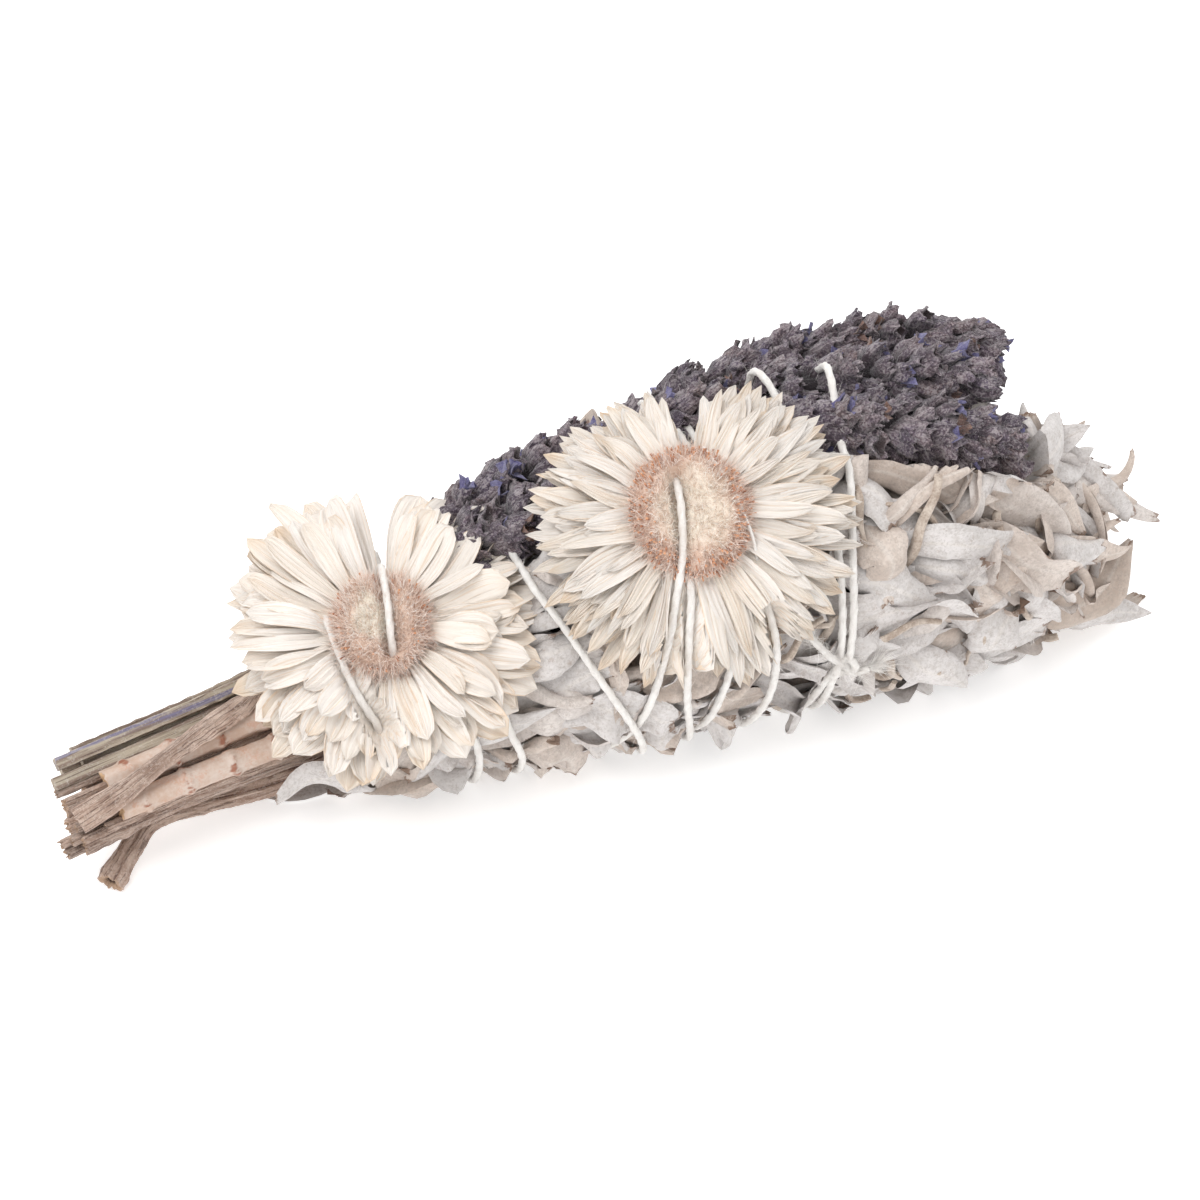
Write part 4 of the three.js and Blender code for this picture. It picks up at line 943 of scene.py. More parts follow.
# Leaves that stand out in front and at the free end: wedge, angle, shade, then the keys above.
SINGLE_LEAVES = [
    (1, 17, 0.2, 27, 0.6, 0.4, 16, 8, -24, 10, 0, 10, 0.3, 0.1, 1.1, 0.06),
    (1, 17, 0.15, 33, 1.6, 0.6, 26, 6.6, 4, -26, -18, -14, -0.35, 0.15, 1.2, 0.12),
    (1, 14, 0.1, 59, 1.2, 0.6, 15, 17, -62, 10, 30, 20, 2.75, 0, 0.8, 0.2),
    (2, -33, 0.12, 66, 2.2, 6.5, 23, 6.4, 6, 14, 24, 24, -0.5, 0.3, 1.2, 0.3),
    (2, -9, 0.1, 36, 3.0, 4.8, 18, 9, -46, 4, 6, 10, 0.25, 0.1, 1.1, 0.06),
    (2, -26, 0.18, 48, 2.0, 3.4, 14, 9, -76, -14, -14, 20, -0.4, 0.1, 1.0, 0.06),
    (2, -30, 0.14, 57, 2.2, 5.0, 15, 8, -50, 20, 20, 20, 0.6, 0.2, 1.0, 0.1),
    (1, 6, 0.12, 62, 1.8, 3.0, 16, 9, 30, -60, 40, 30, 1.2, 0.1, 0.85, 0.1),
    (0, 58, 0.3, 64, 1.4, 3.6, 18, 7, 12, 40, 30, -30, 0.5, 0.2, 1.0, 0.3),
    (1, 27, 0.6, 52, 2.4, 3.2, 17, 8.6, -36, 40, -30, 30, -1.0, 0.1, 0.8, 0.1),
    (1, -2, 0.18, 60, 2.0, 1.8, 13, 9.6, -128, 20, -22, 30, 0.5, -0.2, 0.72, 0.1),
    (2, -17, 0.2, 46, 1.8, 1.0, 15, 9, -96, 14, 12, -18, -0.35, 0.1, 0.7, 0.1),
    (0, 39, 0.72, 47, 1.2, 1.6, 26, 6.4, -8, -18, -24, 20, -0.6, 0.3, 0.95, 0.1),
    (0, 30, 0.78, 36, 1.4, 0.6, 22, 3.4, 30, -70, 40, 160, 0.8, 0.3, 1.2, 0.1),
    (1, 22, 0.7, 34, 1.8, 1.4, 22, 3.6, 34, -30, 70, -90, 1.2, 0.4, 1.0, 0.1),
    (0, 46, 0.2, 55, 1.8, 6.4, 21, 10, 24, 30, -40, -24, 0.4, -0.1, 0.9, 0.3),
    (0, 40, 0.66, 33, 1.6, 0.8, 15, 9, -84, 8, -12, 18, 0.4, 0.2, 0.9, 0.1),
    (0, 56, 0.85, 76, 0.8, 7.0, 15, 4, 20, 60, 20, 100, 0.9, 0.3, 0.9, 0.3),
    (0, 44, 0.75, 70, 1.2, 3.0, 18, 5.2, 6, 20, -40, 40, -0.7, 0.3, 1.1, 0.25),
    (2, -26, 0.1, 30, 2.2, 4.4, 13, 6.5, -126, 14, 10, 20, 0.4, 0.2, 1.1, 0.08),
    (1, 0, 0.3, -14, 1.8, 1.4, 17, 9.5, -30, 20, 18, -20, -0.5, -0.2, 0.85, 0.1),
    (2, -20, 0.2, -12, 1.6, 2.0, 16, 8.5, -50, 30, -20, 30, 0.7, 0.2, 0.9, 0.1),
    (2, -26, 0.62, -22, 1.4, 2.4, 15, 9, -34, -40, 14, -20, 0.5, 0.3, 0.8, 0.1),
    (2, -20, 0.05, 1, 1.6, 2.2, 13, 6.5, -76, 10, -20, 10, 0.6, 0.1, 1.2, 0.1),
    (2, -24, 0.15, 10, 1.8, 2.4, 14, 7, -60, 24, 30, 20, -0.7, 0.2, 1.1, 0.1),
    (1, -8, 0.1, -30, 1.8, 1.2, 15, 7.5, -70, 26, 10, 24, 0.6, 0.2, 1.1, 0.1),
]
STALK_COUNT = 9
CORE_SHARE = 0.64


def leaf_outline(x, wedge):
    """The radius that a wedge's leaves reach at x."""
    return outline(x) - (along(UNDER_LAVENDER, x) if wedge["under"] else 0)


def main_leaves(wedge, w):
    """The part's own leaves of a wedge, in rows of three, looser towards the far end."""
    count = LEAVES_UNDER_LAVENDER if wedge["under"] else LEAVES_PER_WEDGE
    i = np.arange(count)
    x = between(-42, 58, (i + 0.5 * draw(w, i, 1)) / count)
    side = i % 3 - 1 + 0.4 * (draw(w, i, 2) - 0.5)
    loose = np.clip((x - 28) / 25, 0, 1)
    middle, reach = (wedge["from"] + wedge["to"]) / 2, (wedge["to"] - wedge["from"]) / 2
    rows = np.stack([
        x, middle + side * reach * 0.5, between(25, 36, draw(w, i, 3)), between(7, 9.6, draw(w, i, 4)),
        between(-10, 10, draw(w, i, 5)), wedge["height"] + between(-2, -0.2, draw(w, i, 6)),
        wedge["height"] + between(-2.5, 0.2, draw(w, i, 7)) + loose * between(0, 5, draw(w, i, 8)),
        between(-0.35, 0.35, draw(w, i, 9)), between(-30, 30, draw(w, i, 10)) * (1 + loose)], -1)
    rows = np.concatenate([rows, np.asarray(LOOSE_LEAVES[w], float)])
    x, angle, length, width, turn, height, tip, fold, twist = rows.T
    i = np.arange(len(rows))
    ahead = np.where(length > 0, 0, 180)
    across = np.degrees(np.arctan2(np.radians(turn) * leaf_outline(x, wedge), np.abs(length)))
    heading = ahead + across * np.where(length > 0, 1, -1)
    return {"x": x, "angle": angle, "height": height - 0.3, "tip": tip, "length": np.abs(length),
            "width": width, "heading": heading, "bend": between(-30, 30, draw(w, i, 11)), "roll": 0 * x,
            "twist": twist, "curl": between(-1.1, 1.1, draw(w, i, 12)), "fold": fold,
            "cut": between(0.8, 1.3, draw(w, i, 13)), "depth": 0 * x + 0.35}


def drawn_leaves(kind, count, wedge, seed):
    """Leaves drawn from a kind's ranges, spread over the wedge: by the golden ratio along it and evenly
    round it."""
    i = np.arange(count)
    ranges = enumerate(zip(LEAF_KEYS, kind))
    leaf = {key: between(low, high, draw(seed, i, k)) for k, (key, (low, high)) in ranges}
    low, high = kind[0]
    leaf["x"] = between(low, high, (i * GOLDEN_RATIO + 0.2 * draw(seed, i, 20)) % 1)
    leaf["angle"] = between(wedge["from"], wedge["to"], (i + draw(seed, i, 21)) / count)
    leaf["curl"] = leaf["curl"] * np.where(draw(seed, i, 22) < 0.5, -1, 1)
    for key in ("height", "tip"):
        leaf[key] = leaf[key] + wedge["height"]
    return leaf


def single_leaves(w):
    rows = np.array([row[1:] for row in SINGLE_LEAVES if row[0] == w], float)
    if not len(rows):
        return None, None
    return {"angle": rows[:, 0], **dict(zip(LEAF_KEYS, rows[:, 2:].T))}, rows[:, 1]


def surface_route(leaf, wedge, seed, stations):
    """Routes over the bunch (leaves, stations, 3), and the angle round it at each station.

    The heading in the surface is heading + bend (t - 0.4) + a slow wobble, and x and the arc add up its
    cosine and sine. The height goes from -depth times the radius to the leaf's height by 0.45 of the length
    and on to its tip by ((t - 0.4) / 0.6)^1.3, with a hump of one or two waves.
    """
    i = np.arange(len(leaf["x"]))
    t = np.linspace(0, 1, stations)[None]
    get = {key: value[:, None] for key, value in leaf.items()}

    def d(k):
        return draw(seed, i, k)[:, None]

    wobble = 16 * np.sin(2 * np.pi * (t * between(0.6, 1.5, d(41)) + d(42)))
    way = np.radians(get["heading"] + get["bend"] * (t - 0.4) + wobble)
    step = get["length"] / (stations - 1)
    x = get["x"] + np.cumsum(step * np.cos(way), axis=1)
    surface = leaf_outline(x, wedge)
    angle = get["angle"] + np.degrees(np.cumsum(step * np.sin(way) / np.maximum(surface, 11), axis=1))
    risen = between(-get["depth"] * surface, get["height"], ease(np.minimum(1, t / 0.45)))
    hump = between(-0.5, 1.1, d(43)) * np.sin(2 * np.pi * (t * between(0.8, 1.9, d(44)) + d(45)))
    out = risen + (get["tip"] - get["height"]) * np.maximum(0, (t - 0.4) / 0.6) ** 1.3 + hump * ease(t / 0.4)
    return place(x, angle, surface + out), angle


def leaf_rings(leaf, wedge, seed):
    """The leaves' closed sections, the u of their corners, and a mark for their browned edges.

    Half the width is sin(pi t^0.85)^0.8 beyond a short stalk, up to where the leaf is broken off. The
    section's slope is curl s plus the fold at the midrib, plus waves and a turned rim that grow to the
    edges.
    """
    i = np.arange(len(leaf["x"]))
    path, angle = surface_route(leaf, wedge, seed, LEAF_STATIONS)
    t = np.linspace(0, 1, LEAF_STATIONS)[None]
    get = {key: value[:, None] for key, value in leaf.items()}

    def d(k):
        return column(draw(seed, i, k))

    turn = np.radians(get["roll"] + get["twist"] * (t - 0.3))[..., None]
    across, over = frames_along(path, outward_at(angle))
    across, over = across * np.cos(turn) + over * np.sin(turn), over * np.cos(turn) - across * np.sin(turn)
    kept = t * np.minimum(get["cut"], 1)
    lance = np.sin(np.pi * np.clip(kept, 1e-4, 1 - 1e-4) ** 0.85) ** 0.8
    stalk = between(0.12, 0.2, d(25))[..., 0] * ease((1.02 - t) / 0.12)
    half = np.maximum(get["width"] / 2 * np.maximum(lance * ease((t + 0.1) / 0.22), stalk), 0.1)
    half = half * (1 + 0.06 * waves(t * 3, draw(seed, i, 33)[:, None], 34, 3))
    ripple, pitch, phase = between(0.05, 0.5, d(30)), between(1.2, 3.6, d(31)), d(29)

    def slope(s):
        edge = ripple * np.abs(s) * np.sin(2 * np.pi * (pitch * t[..., None] + phase) + 1.9 * np.sign(s))
        rib = get["fold"][..., None] * np.tanh(s / 0.2) + 0.25 * s / 0.12 * np.exp(-(s / 0.18) ** 2)
        rim = between(0.2, 1.5, d(32)) * s * s ** 4
        return get["curl"][..., None] * s * (0.7 + 0.5 * t[..., None]) + edge + rib + rim

    thick = LEAF_THICK * np.minimum(1, 0.35 + half[..., None] / 2)
    sideways, upwards, u, s = rolled_blade(half, thick, slope, LEAF_CORNERS)
    rings = carried(path, across, over, sideways, upwards)
    broken = (get["cut"] < 1)[..., None]
    tear = waves(s * 1.2 + d(35), d(36), 37, 5, 1.0)
    ahead = unit(path[:, -1] - path[:, -2])[:, None, None]
    tear = broken * tear * get["width"][..., None] * 0.32 * np.array([[0.5], [1]])
    rings[:, -2:] += ahead * tear[..., None]
    patchy = np.clip(0.45 + 1.6 * waves(t[..., None] * 1.4, np.sign(s) + d(38), 39, 4), 0, 1)
    mark = np.maximum(ease((np.abs(s) - 0.7) / 0.3) * patchy, ease((t[..., None] - 0.9) / 0.1) * broken)
    return rings, u, mark


def crumpled_core(wedge, w):
    """What lies under the leaves: a wedge of the bunch at CORE_SHARE of its outline, its face crumpled by
    noise. The leaf material paints it near black, as painted shade in the gaps between the leaves."""
    x = np.linspace(STEM_TOP_X + GAP, 68, 60)[:, None]
    share = np.linspace(-1, 1, 28)[None]
    middle, half = (wedge["from"] + wedge["to"]) / 2, (wedge["to"] - wedge["from"]) / 2
    seed = 131 + w
    closing = np.clip((70 - x) / 30, 0.05, 1) ** 0.5
    radius = leaf_outline(x, wedge) * CORE_SHARE * closing + 2.2 * waves(x / 9, share * 3, seed, 8) * closing
    angle = middle + half * share * 0.97 + 2 * waves(x / 15, share * 2, seed + 9, 4)
    face = place(x + 0 * share, angle, radius)
    foot = place(x, middle + 0 * x, 0.8 + 0 * x)
    return settle(np.concatenate([face, foot], 1))


def leaf_stalks(wedge, seed, count):
    """Bare leaf stalks: furrowed tapering tubes along routes over the bunch."""
    i = np.arange(count)

    def d(k):
        return draw(seed, i, k)

    leaf = {"x": between(10, 70, d(1)), "angle": between(wedge["from"], wedge["to"], d(2)),
            "height": wedge["height"] + between(-0.6, 1.6, d(3)),
            "tip": wedge["height"] + between(-3, 3.2, d(4)), "length": between(9, 19, d(5)),
            "heading": between(-100, 100, d(6)), "bend": between(-120, 120, d(7)),
            "depth": between(0.1, 0.25, d(8))}
    path, angle = surface_route(leaf, wedge, seed, 26)
    across, over = frames_along(path, outward_at(angle))
    t = np.linspace(0, 1, 26)[None, :, None]
    a = ring_angles(12)
    furrow = 1 + 0.2 * np.cos(2 * a + 6 * column(d(9))) + 0.09 * np.cos(5 * a + 6 * column(d(10)) + 3 * t)
    r = column(between(0.45, 0.85, d(11))) * (1 - 0.4 * t) * furrow
    return tube(path, across, over, r, a)


def sage_leaf_material():
    """Felted grey leaves: each a shade of its own, cool or warm, with a paler midrib and thin browned
    edges. The crumpled core under them is painted near black: painted shade in the gaps between leaves."""
    f = Finish("sage_leaf", Roughness=0.88, Sheen_Weight=0.25, Sheen_Roughness=0.45)
    n = f.n
    tone, kind, edge = n.mark("tone"), n.mark("kind"), n.mark("edge")
    uv = f.uv()
    cool = f.mottle(rgb(216, 211, 209), rgb(192, 187, 184), 170.0, 0.8)
    warm = f.mottle(rgb(214, 201, 191), rgb(186, 170, 158), 170.0, 0.9)
    colour = n.mix(n.remap(tone, 0.35, 0.72), cool, warm)
    colour = n.over(colour, n.remap(tone, 0.86, 1.0), 0.45, rgb(170, 152, 138))
    aside = n.math("ABSOLUTE", n.math("MULTIPLY_ADD", uv["X"], 2.0, -1.0))
    colour = n.over(colour, n.remap(aside, 0.14, 0.02), 0.35, rgb(222, 215, 208))
    veins = f.streaks(10.0, 16.0, tone)
    colour = n.over(colour, n.remap(veins, 0.5, 0.66), 0.3, rgb(168, 158, 148))
    felt = f.grain(3000.0, 0.5)
    colour = n.over(colour, n.remap(felt, 0.76, 0.6), 0.35, rgb(150, 140, 134))
    worn = n.math("MULTIPLY_ADD", f.blotch(600.0), 0.35, n.math("MULTIPLY", edge, 0.85))
    colour = n.over(colour, n.remap(worn, 0.78, 1.02), 0.85, rgb(118, 90, 70))
    spots = n.math("MULTIPLY", n.remap(f.blotch(800.0), 0.93, 1.0), 0.3)
    colour = n.mix(spots, colour, rgb(140, 112, 92))
    stalk = f.mottle(rgb(206, 193, 180), rgb(160, 142, 128), 340.0)
    colour = n.mix(n.remap(kind, 0.3, 0.6), colour, stalk)
    # The core (kind 1) is painted near black: painted shade in the gaps between the leaves.
    colour = n.mix(n.remap(kind, 0.8, 1.0), colour, f.mottle(rgb(96, 82, 74), rgb(44, 34, 28), 200.0))
    height = n.math("MULTIPLY_ADD", felt, 0.5, n.math("MULTIPLY", veins, 0.5))
    return f.done(colour, height, 0.6, 0.00028)


# ---- Lavender ----

WHORLS = 11
CALYCES_PER_WHORL = 11
CALYX_LENGTH = 6.2
CALYX_R = 1.24
CALYX_CORNERS = 16
SPIKE_HAIRS = 3300


def calyx_rings(centre, ahead, out, aside, radius, seed):
    """Calyces on curved paths: a ribbed, lumpy tube, narrow at its root, widest past its middle, with a
    toothed mouth whose wall turns in to a point inside.

    The path is a quadratic curve from the spike's middle, by a knee near the spike's skin, to centre + out
    + ahead + aside.
    """
    i = np.arange(len(centre))
    root = centre + out * 0.15
    knee = centre + out * 0.85 + ahead * 0.25
    tip = centre + out + ahead + aside
    t = np.array([0, 0.16, 0.34, 0.52, 0.7, 0.84, 0.93, 0.98, 1.0, 0.96, 0.85, 0.7])
    r = np.array([0.35, 0.66, 0.92, 1.04, 1.05, 0.98, 0.98, 1.06, 1.0, 0.74, 0.56, 0.22])
    lip = np.array([0, 0, 0, 0, 0, 0.2, 0.6, 1, 1, 0.9, 0.8, 0.5])
    lip = lip * between(-0.4, 0.35, draw(seed, i, 6))[:, None]
    q = t[None, :, None]
    path = root[:, None] * (1 - q) ** 2 + 2 * knee[:, None] * q * (1 - q) + tip[:, None] * q ** 2
    axis = unit(2 * (1 - q) * (knee - root)[:, None] + 2 * q * (tip - knee)[:, None])
    across = unit(np.cross(axis, unit(out)[:, None]))
    over = np.cross(across, axis)
    a = ring_angles(CALYX_CORNERS)[None, None]
    along_it = t[None, :, None]

    def d(k):
        return 6.28 * column(draw(seed, i, k))

    rib = (1 + 0.08 * np.cos(7 * a + d(7)) + 0.2 * np.sin(2 * a + d(1))
           + 0.16 * np.sin(3 * a + d(2) + 5 * along_it)
           + 0.12 * np.sin(2 * a + d(3) + 17 * along_it) + 0.1 * np.sin(5 * a + d(8) - 24 * along_it))
    size = (radius[:, None] * r * (1 + lip))[..., None] * rib
    rings = carried(path, across, over, size * np.cos(a) * 1.12, size * np.sin(a) * 0.84)
    teeth = np.array([0, 0, 0, 0, 0, 0.1, 0.35, 0.6, 0.55, 0.2, 0, 0])[None, :, None] * np.sin(4 * a + d(4))
    return rings + axis[:, :, None] * teeth[..., None], axis


def corolla_rings(mouth, axis, out, size, seed):
    """Shrivelled petals out of a calyx: a thin crinkled cup, flaring by the square of t, with its inner
    wall."""
    i = np.arange(len(mouth))
    t = np.array([0, 0.35, 0.7, 1.0, 0.9, 0.55, 0.15])
    wall = np.array([1, 1, 1, 0.96, 0.8, 0.75, 0.6])
    a = ring_angles(14)
    flare = (0.5 + 0.75 * t ** 2) * wall
    crinkle = 1 + t[None, :, None] * (0.32 * np.sin(4 * a + 6 * column(draw(seed, i, 1)))
                                      + 0.28 * np.sin(7 * a + 6 * column(draw(seed, i, 2))))
    across = unit(np.cross(axis, out))[:, None]
    over = np.cross(across, axis[:, None])
    r = column(size) * flare[None, :, None] * crinkle
    path = mouth[:, None] + axis[:, None] * (t[None, :, None] * 1.8 - 0.9) * size[:, None, None]
    rings = tube(path, across + 0 * path, over + 0 * path, r, a)
    lean = 0.6 * column(size) * t[None, :, None] ** 2 * np.sin(3 * a + 5 * column(draw(seed, i, 3)))
    return rings + axis[:, None, None] * lean[..., None]


def add_spike(skin, lavender, number):
    """A spike: its core, whorls of calyces that lean every way over its whole reach, petals in some of their
    mouths, and hairs."""
    seed = 201 + number
    low, high = spike_reach(lavender)
    whorls = round(WHORLS * (high - low))
    whorl, k = np.meshgrid(np.arange(whorls), np.arange(CALYCES_PER_WHORL), indexing="ij")
    i = (whorl * CALYCES_PER_WHORL + k).ravel()
    whorl, k = whorl.ravel(), k.ravel()
    share = np.clip((whorl + 0.3 + 1.1 * (draw(seed, i, 1) - 0.5)) / (whorls + 1), 0, 1)
    t = between(low, high, share)
    ways = np.linspace(low, high, 61)
    line = spike_line(lavender, ways)
    line[:, 2] += along(lavender["rise"], ways)
    across, over = frames_along(line, np.array([0, 0, 1.0]))
    tangent = unit(np.gradient(line, axis=0))
    j = np.round(share * 60).astype(int)
    turn = (k + 0.5 * (whorl % 2) + 0.9 * (draw(seed, i, 2) - 0.5)) / CALYCES_PER_WHORL * 2 * np.pi
    out = across[j] * np.cos(turn)[:, None] + over[j] * np.sin(turn)[:, None]
    reach = spike_radius(np.clip(t + 0.06, 0, 1)) * between(0.6, 1.14, draw(seed, i, 3))
    forward = np.sqrt(np.maximum(5, CALYX_LENGTH ** 2 - reach ** 2)) * between(0.45, 1.15, draw(seed, i, 4))
    aside = np.cross(tangent[j], out) * between(-1.6, 1.6, draw(seed, i, 10))[:, None]
    radius = CALYX_R * between(0.74, 1.3, draw(seed, i, 5))
    ahead = tangent[j] * forward[:, None]
    rings, axes = calyx_rings(line[j], ahead, out * reach[:, None], aside, radius, seed)
    tone = draw(seed, i, 6)
    skin.add(rings, tone=tone)
    a = ring_angles(12)
    # The lavender material paints this core near black, as the shade among the calyces.
    core = carried(line, across, over, 2.2 * np.cos(a) + 0 * line[:, :1], 2.2 * np.sin(a) + 0 * line[:, :1])
    skin.add(core[:56], tone=0.0, kind=0.2)
    open_ones = draw(seed, i, 7) < between(0.1, 0.34, share)
    size = between(0.8, 1.35, draw(seed, i, 8))[open_ones]
    mouth = rings[:, 6].mean(axis=1)[open_ones]
    skin.add(corolla_rings(mouth, axes[open_ones, 6], out[open_ones], size, seed + 20),
             tone=draw(seed, i, 9)[open_ones], kind=1.0)
    h = np.arange(SPIKE_HAIRS)
    seed = seed + 40
    which = np.floor(draw(seed, h, 1) * len(i)).astype(int)
    station = 1 + np.floor(draw(seed, h, 2) * 7).astype(int)
    corner = np.floor(draw(seed, h, 3) * CALYX_CORNERS).astype(int)
    share = draw(seed, h, 6)[:, None]
    beside = rings[which, station - 1, (corner + 1) % CALYX_CORNERS]
    roots = between(rings[which, station, corner], beside, share)
    away = unit(roots - rings[which, station].mean(axis=1))
    rings, tips = hairs(roots - 0.05 * away, unit(away + 0.6 * axes[which, station]),
                        between(0.35, 1.1, draw(seed, h, 4) ** 1.5), 0.034, seed + 20, 0.6)
    skin.add_hairs(rings, tips, tone=tone[which], kind=0.5, edge=draw(seed, h, 5))


def lavender_material():
    """Grey-violet felt with ribs along each calyx, pale down and blue-violet petals. Shade is painted in
    the rib grooves, at each calyx's root and inside its mouth, and on the dark core among the calyces.
    """
    f = Finish("lavender_flower", Roughness=0.92, Sheen_Weight=0.35, Sheen_Roughness=0.4)
    n = f.n
    tone, kind, uv = n.mark("tone"), n.mark("kind"), f.uv()
    colour = n.mix(n.remap(tone, 0.1, 0.9), rgb(103, 88, 95), rgb(147, 130, 133))
    colour = n.over(colour, n.remap(tone, 0.8, 0.92), 0.5, rgb(122, 98, 88))
    colour = n.over(colour, f.blotch(260.0), 0.5, rgb(90, 82, 112))
    ribs = f.streaks(24.0, 1.5, tone)
    felt = f.grain(2600.0, 0.6)
    colour = n.over(colour, n.remap(felt, 0.79, 0.9), 0.7, rgb(184, 174, 176))
    colour = n.over(colour, n.remap(felt, 0.78, 0.66), 0.75, rgb(50, 39, 46))
    # Painted shade in the grooves between the ribs, where the rib height is low.
    colour = n.over(colour, n.remap(ribs, 0.54, 0.44), 0.5, rgb(58, 48, 56))
    # Painted shade: near black towards each calyx's root, deep in the spike among the other calyces.
    colour = n.over(colour, n.remap(uv["Y"], 0.36, 0.04), 0.85, rgb(42, 32, 36))
    # Painted shade: dark on the inner wall of each calyx's mouth, where it turns in to a point.
    colour = n.over(colour, n.remap(uv["Y"], 0.76, 0.84), 0.85, rgb(48, 34, 34))
    # The spike's core (kind 0.2) is painted near black: painted shade among the calyces.
    colour = n.mix(n.remap(kind, 0.1, 0.2), colour, rgb(40, 32, 36))
    violet = f.mottle(rgb(142, 138, 174), rgb(98, 93, 138), 700.0)
    brown = f.mottle(rgb(140, 108, 94), rgb(88, 66, 62), 700.0)
    petal = n.mix(n.remap(tone, 0.74, 0.8), violet, brown)
    colour = n.mix(n.remap(kind, 0.75, 0.9), colour, petal)
    hair = n.math("MULTIPLY", n.remap(kind, 0.3, 0.45), n.remap(kind, 0.7, 0.55))
    down = n.mix(n.mark("edge"), rgb(132, 122, 130), rgb(198, 190, 192))
    colour = n.mix(hair, colour, down)
    height = n.math("ADD", felt, n.math("MULTIPLY", ribs, 0.7))
    return f.done(colour, height, 1.0, 0.00045)


def stalk_route(lavender):
    line = spike_line(lavender, np.linspace(0, 1, 13))
    back = unit(line[0] - line[1])
    rows = np.asarray(lavender["stalk"], float)
    way = risen(place(rows[:, 0], rows[:, 1], rows[:, 2]))
    return np.vstack([way, line[0] + back * 4, line[0] + back * 2 * GAP])


def add_stalk(skin, lavender, i):
    """A square, furrowed stalk: radius (0.88 + 0.12 cos 4a) along its way, swollen where it shows at the
    cut end."""
    path = smooth_route(stalk_route(lavender), 0.8)
    across, over = frames_along(path, np.array([0, 0, 1.0]))
    s = np.linspace(0, 1, len(path))[:, None]
    a = ring_angles(20)[None]
    shown = 1 + 0.32 * ease((-44 - path[:, :1]) / 8)
    r = STALK_R * shown * (0.88 + 0.12 * np.cos(4 * a) + 0.07 * np.cos(8 * a + 3 * s)
                           + waves(s * 9, a / 3, 251 + i, 5, 0.22))
    skin.add(tube(path, across, over, r, a), tone=draw(252, i, 1))


def stalk_material():
    """Dried stalk: grey-green to grey-brown lengths with a blue-violet bloom in some of its furrows."""
    f = Finish("lavender_stalk", Roughness=0.85)
    n = f.n
    tone = n.mark("tone")
    streak = f.streaks(12.0, 4.0, tone)
    colour = n.mix(n.remap(streak, 0.4, 0.62), rgb(180, 168, 150), rgb(134, 116, 104))
    colour = n.over(colour, n.remap(f.streaks(30.0, 12.0, tone), 0.54, 0.66), 0.7, rgb(86, 68, 60))
    bloom = n.math("MULTIPLY", n.remap(f.streaks(9.0, 1.6, 0.4), 0.52, 0.6), n.remap(tone, 0.6, 0.66))
    bloom = n.math("MULTIPLY", bloom, n.remap(tone, 0.68, 0.67))
    colour = n.over(colour, bloom, 0.6, rgb(116, 118, 158))
    colour = n.over(colour, n.remap(f.grain(2500.0), 0.7, 0.95), 0.45, rgb(208, 202, 194))
    return f.done(colour, n.math("ADD", streak, n.math("MULTIPLY", f.grain(2500.0), 0.4)), 0.8, 0.0004)


# ---- Strawflowers ----

BRACT_ROWS = [[1.08, 0, 0.1, 1.0], [1.05, 1.5, 0.9, 1.0], [0.99, 2.9, 1.9, 0.9], [0.84, 4.4, 3.1, 0.72]]
BRACT_STATIONS = 15
BRACT_THICK = 0.14
STANDING_AT = 111
STANDING_WIDTH = 19
HEADS = [
    # layers, bracts in the outer one, their width, 1 for round tips, how far tips hook up, the middle and
    # half width in degrees of the gap in the bracts, how far those beyond it stand up, the disc's size, by
    # how much bracts are longer on one side, a bract's corners, florets, the middle of the cream part, and by
    # share of the disc's radius the shade of its down: 0 cream, 0.5 taupe, 0.8 rusty, 1.1 white
    {"layers": 8, "around": 20, "width": 4.9, "round": 1.0, "hook": 0.25, "notch": (75, 11), "raised": 5.0,
     "size": 0.85, "shift": (0, 0.06), "corners": 15, "florets": 60, "cream": (-1.6, 0.2),
     "shades": [[0, 0.02], [0.3, 0.06], [0.5, 0.42], [0.85, 0.55], [0.97, 0.7], [1.12, 1.1]]},
    {"layers": 11, "around": 30, "width": 3.3, "round": 0.0, "hook": 0.12, "notch": (72, 13), "raised": -2.6,
     "size": 0.95, "shift": (0.03, -0.05), "corners": 11, "florets": 300, "cream": (0.3, -0.4),
     "shades": [[0, 0.2], [0.45, 0.22], [0.66, 0.38], [0.8, 0.7], [0.92, 0.85], [1.02, 0.95], [1.14, 1.1]]},
]
DISC_HAIRS = 5800
MARGIN_HAIRS = 2600
DISC_RIM = 0.9


def off_notch(turn, notch):
    """Turns of bracts in degrees, pushed out of the gap: within 60 of its middle, w + d (60 - w) / 60 off
    it."""
    middle, w = notch
    off = (turn - middle + 180) % 360 - 180
    pushed = np.sign(off) * (w + np.abs(off) * (60 - w) / 60)
    return middle + np.where(np.abs(off) < 60, pushed, off)


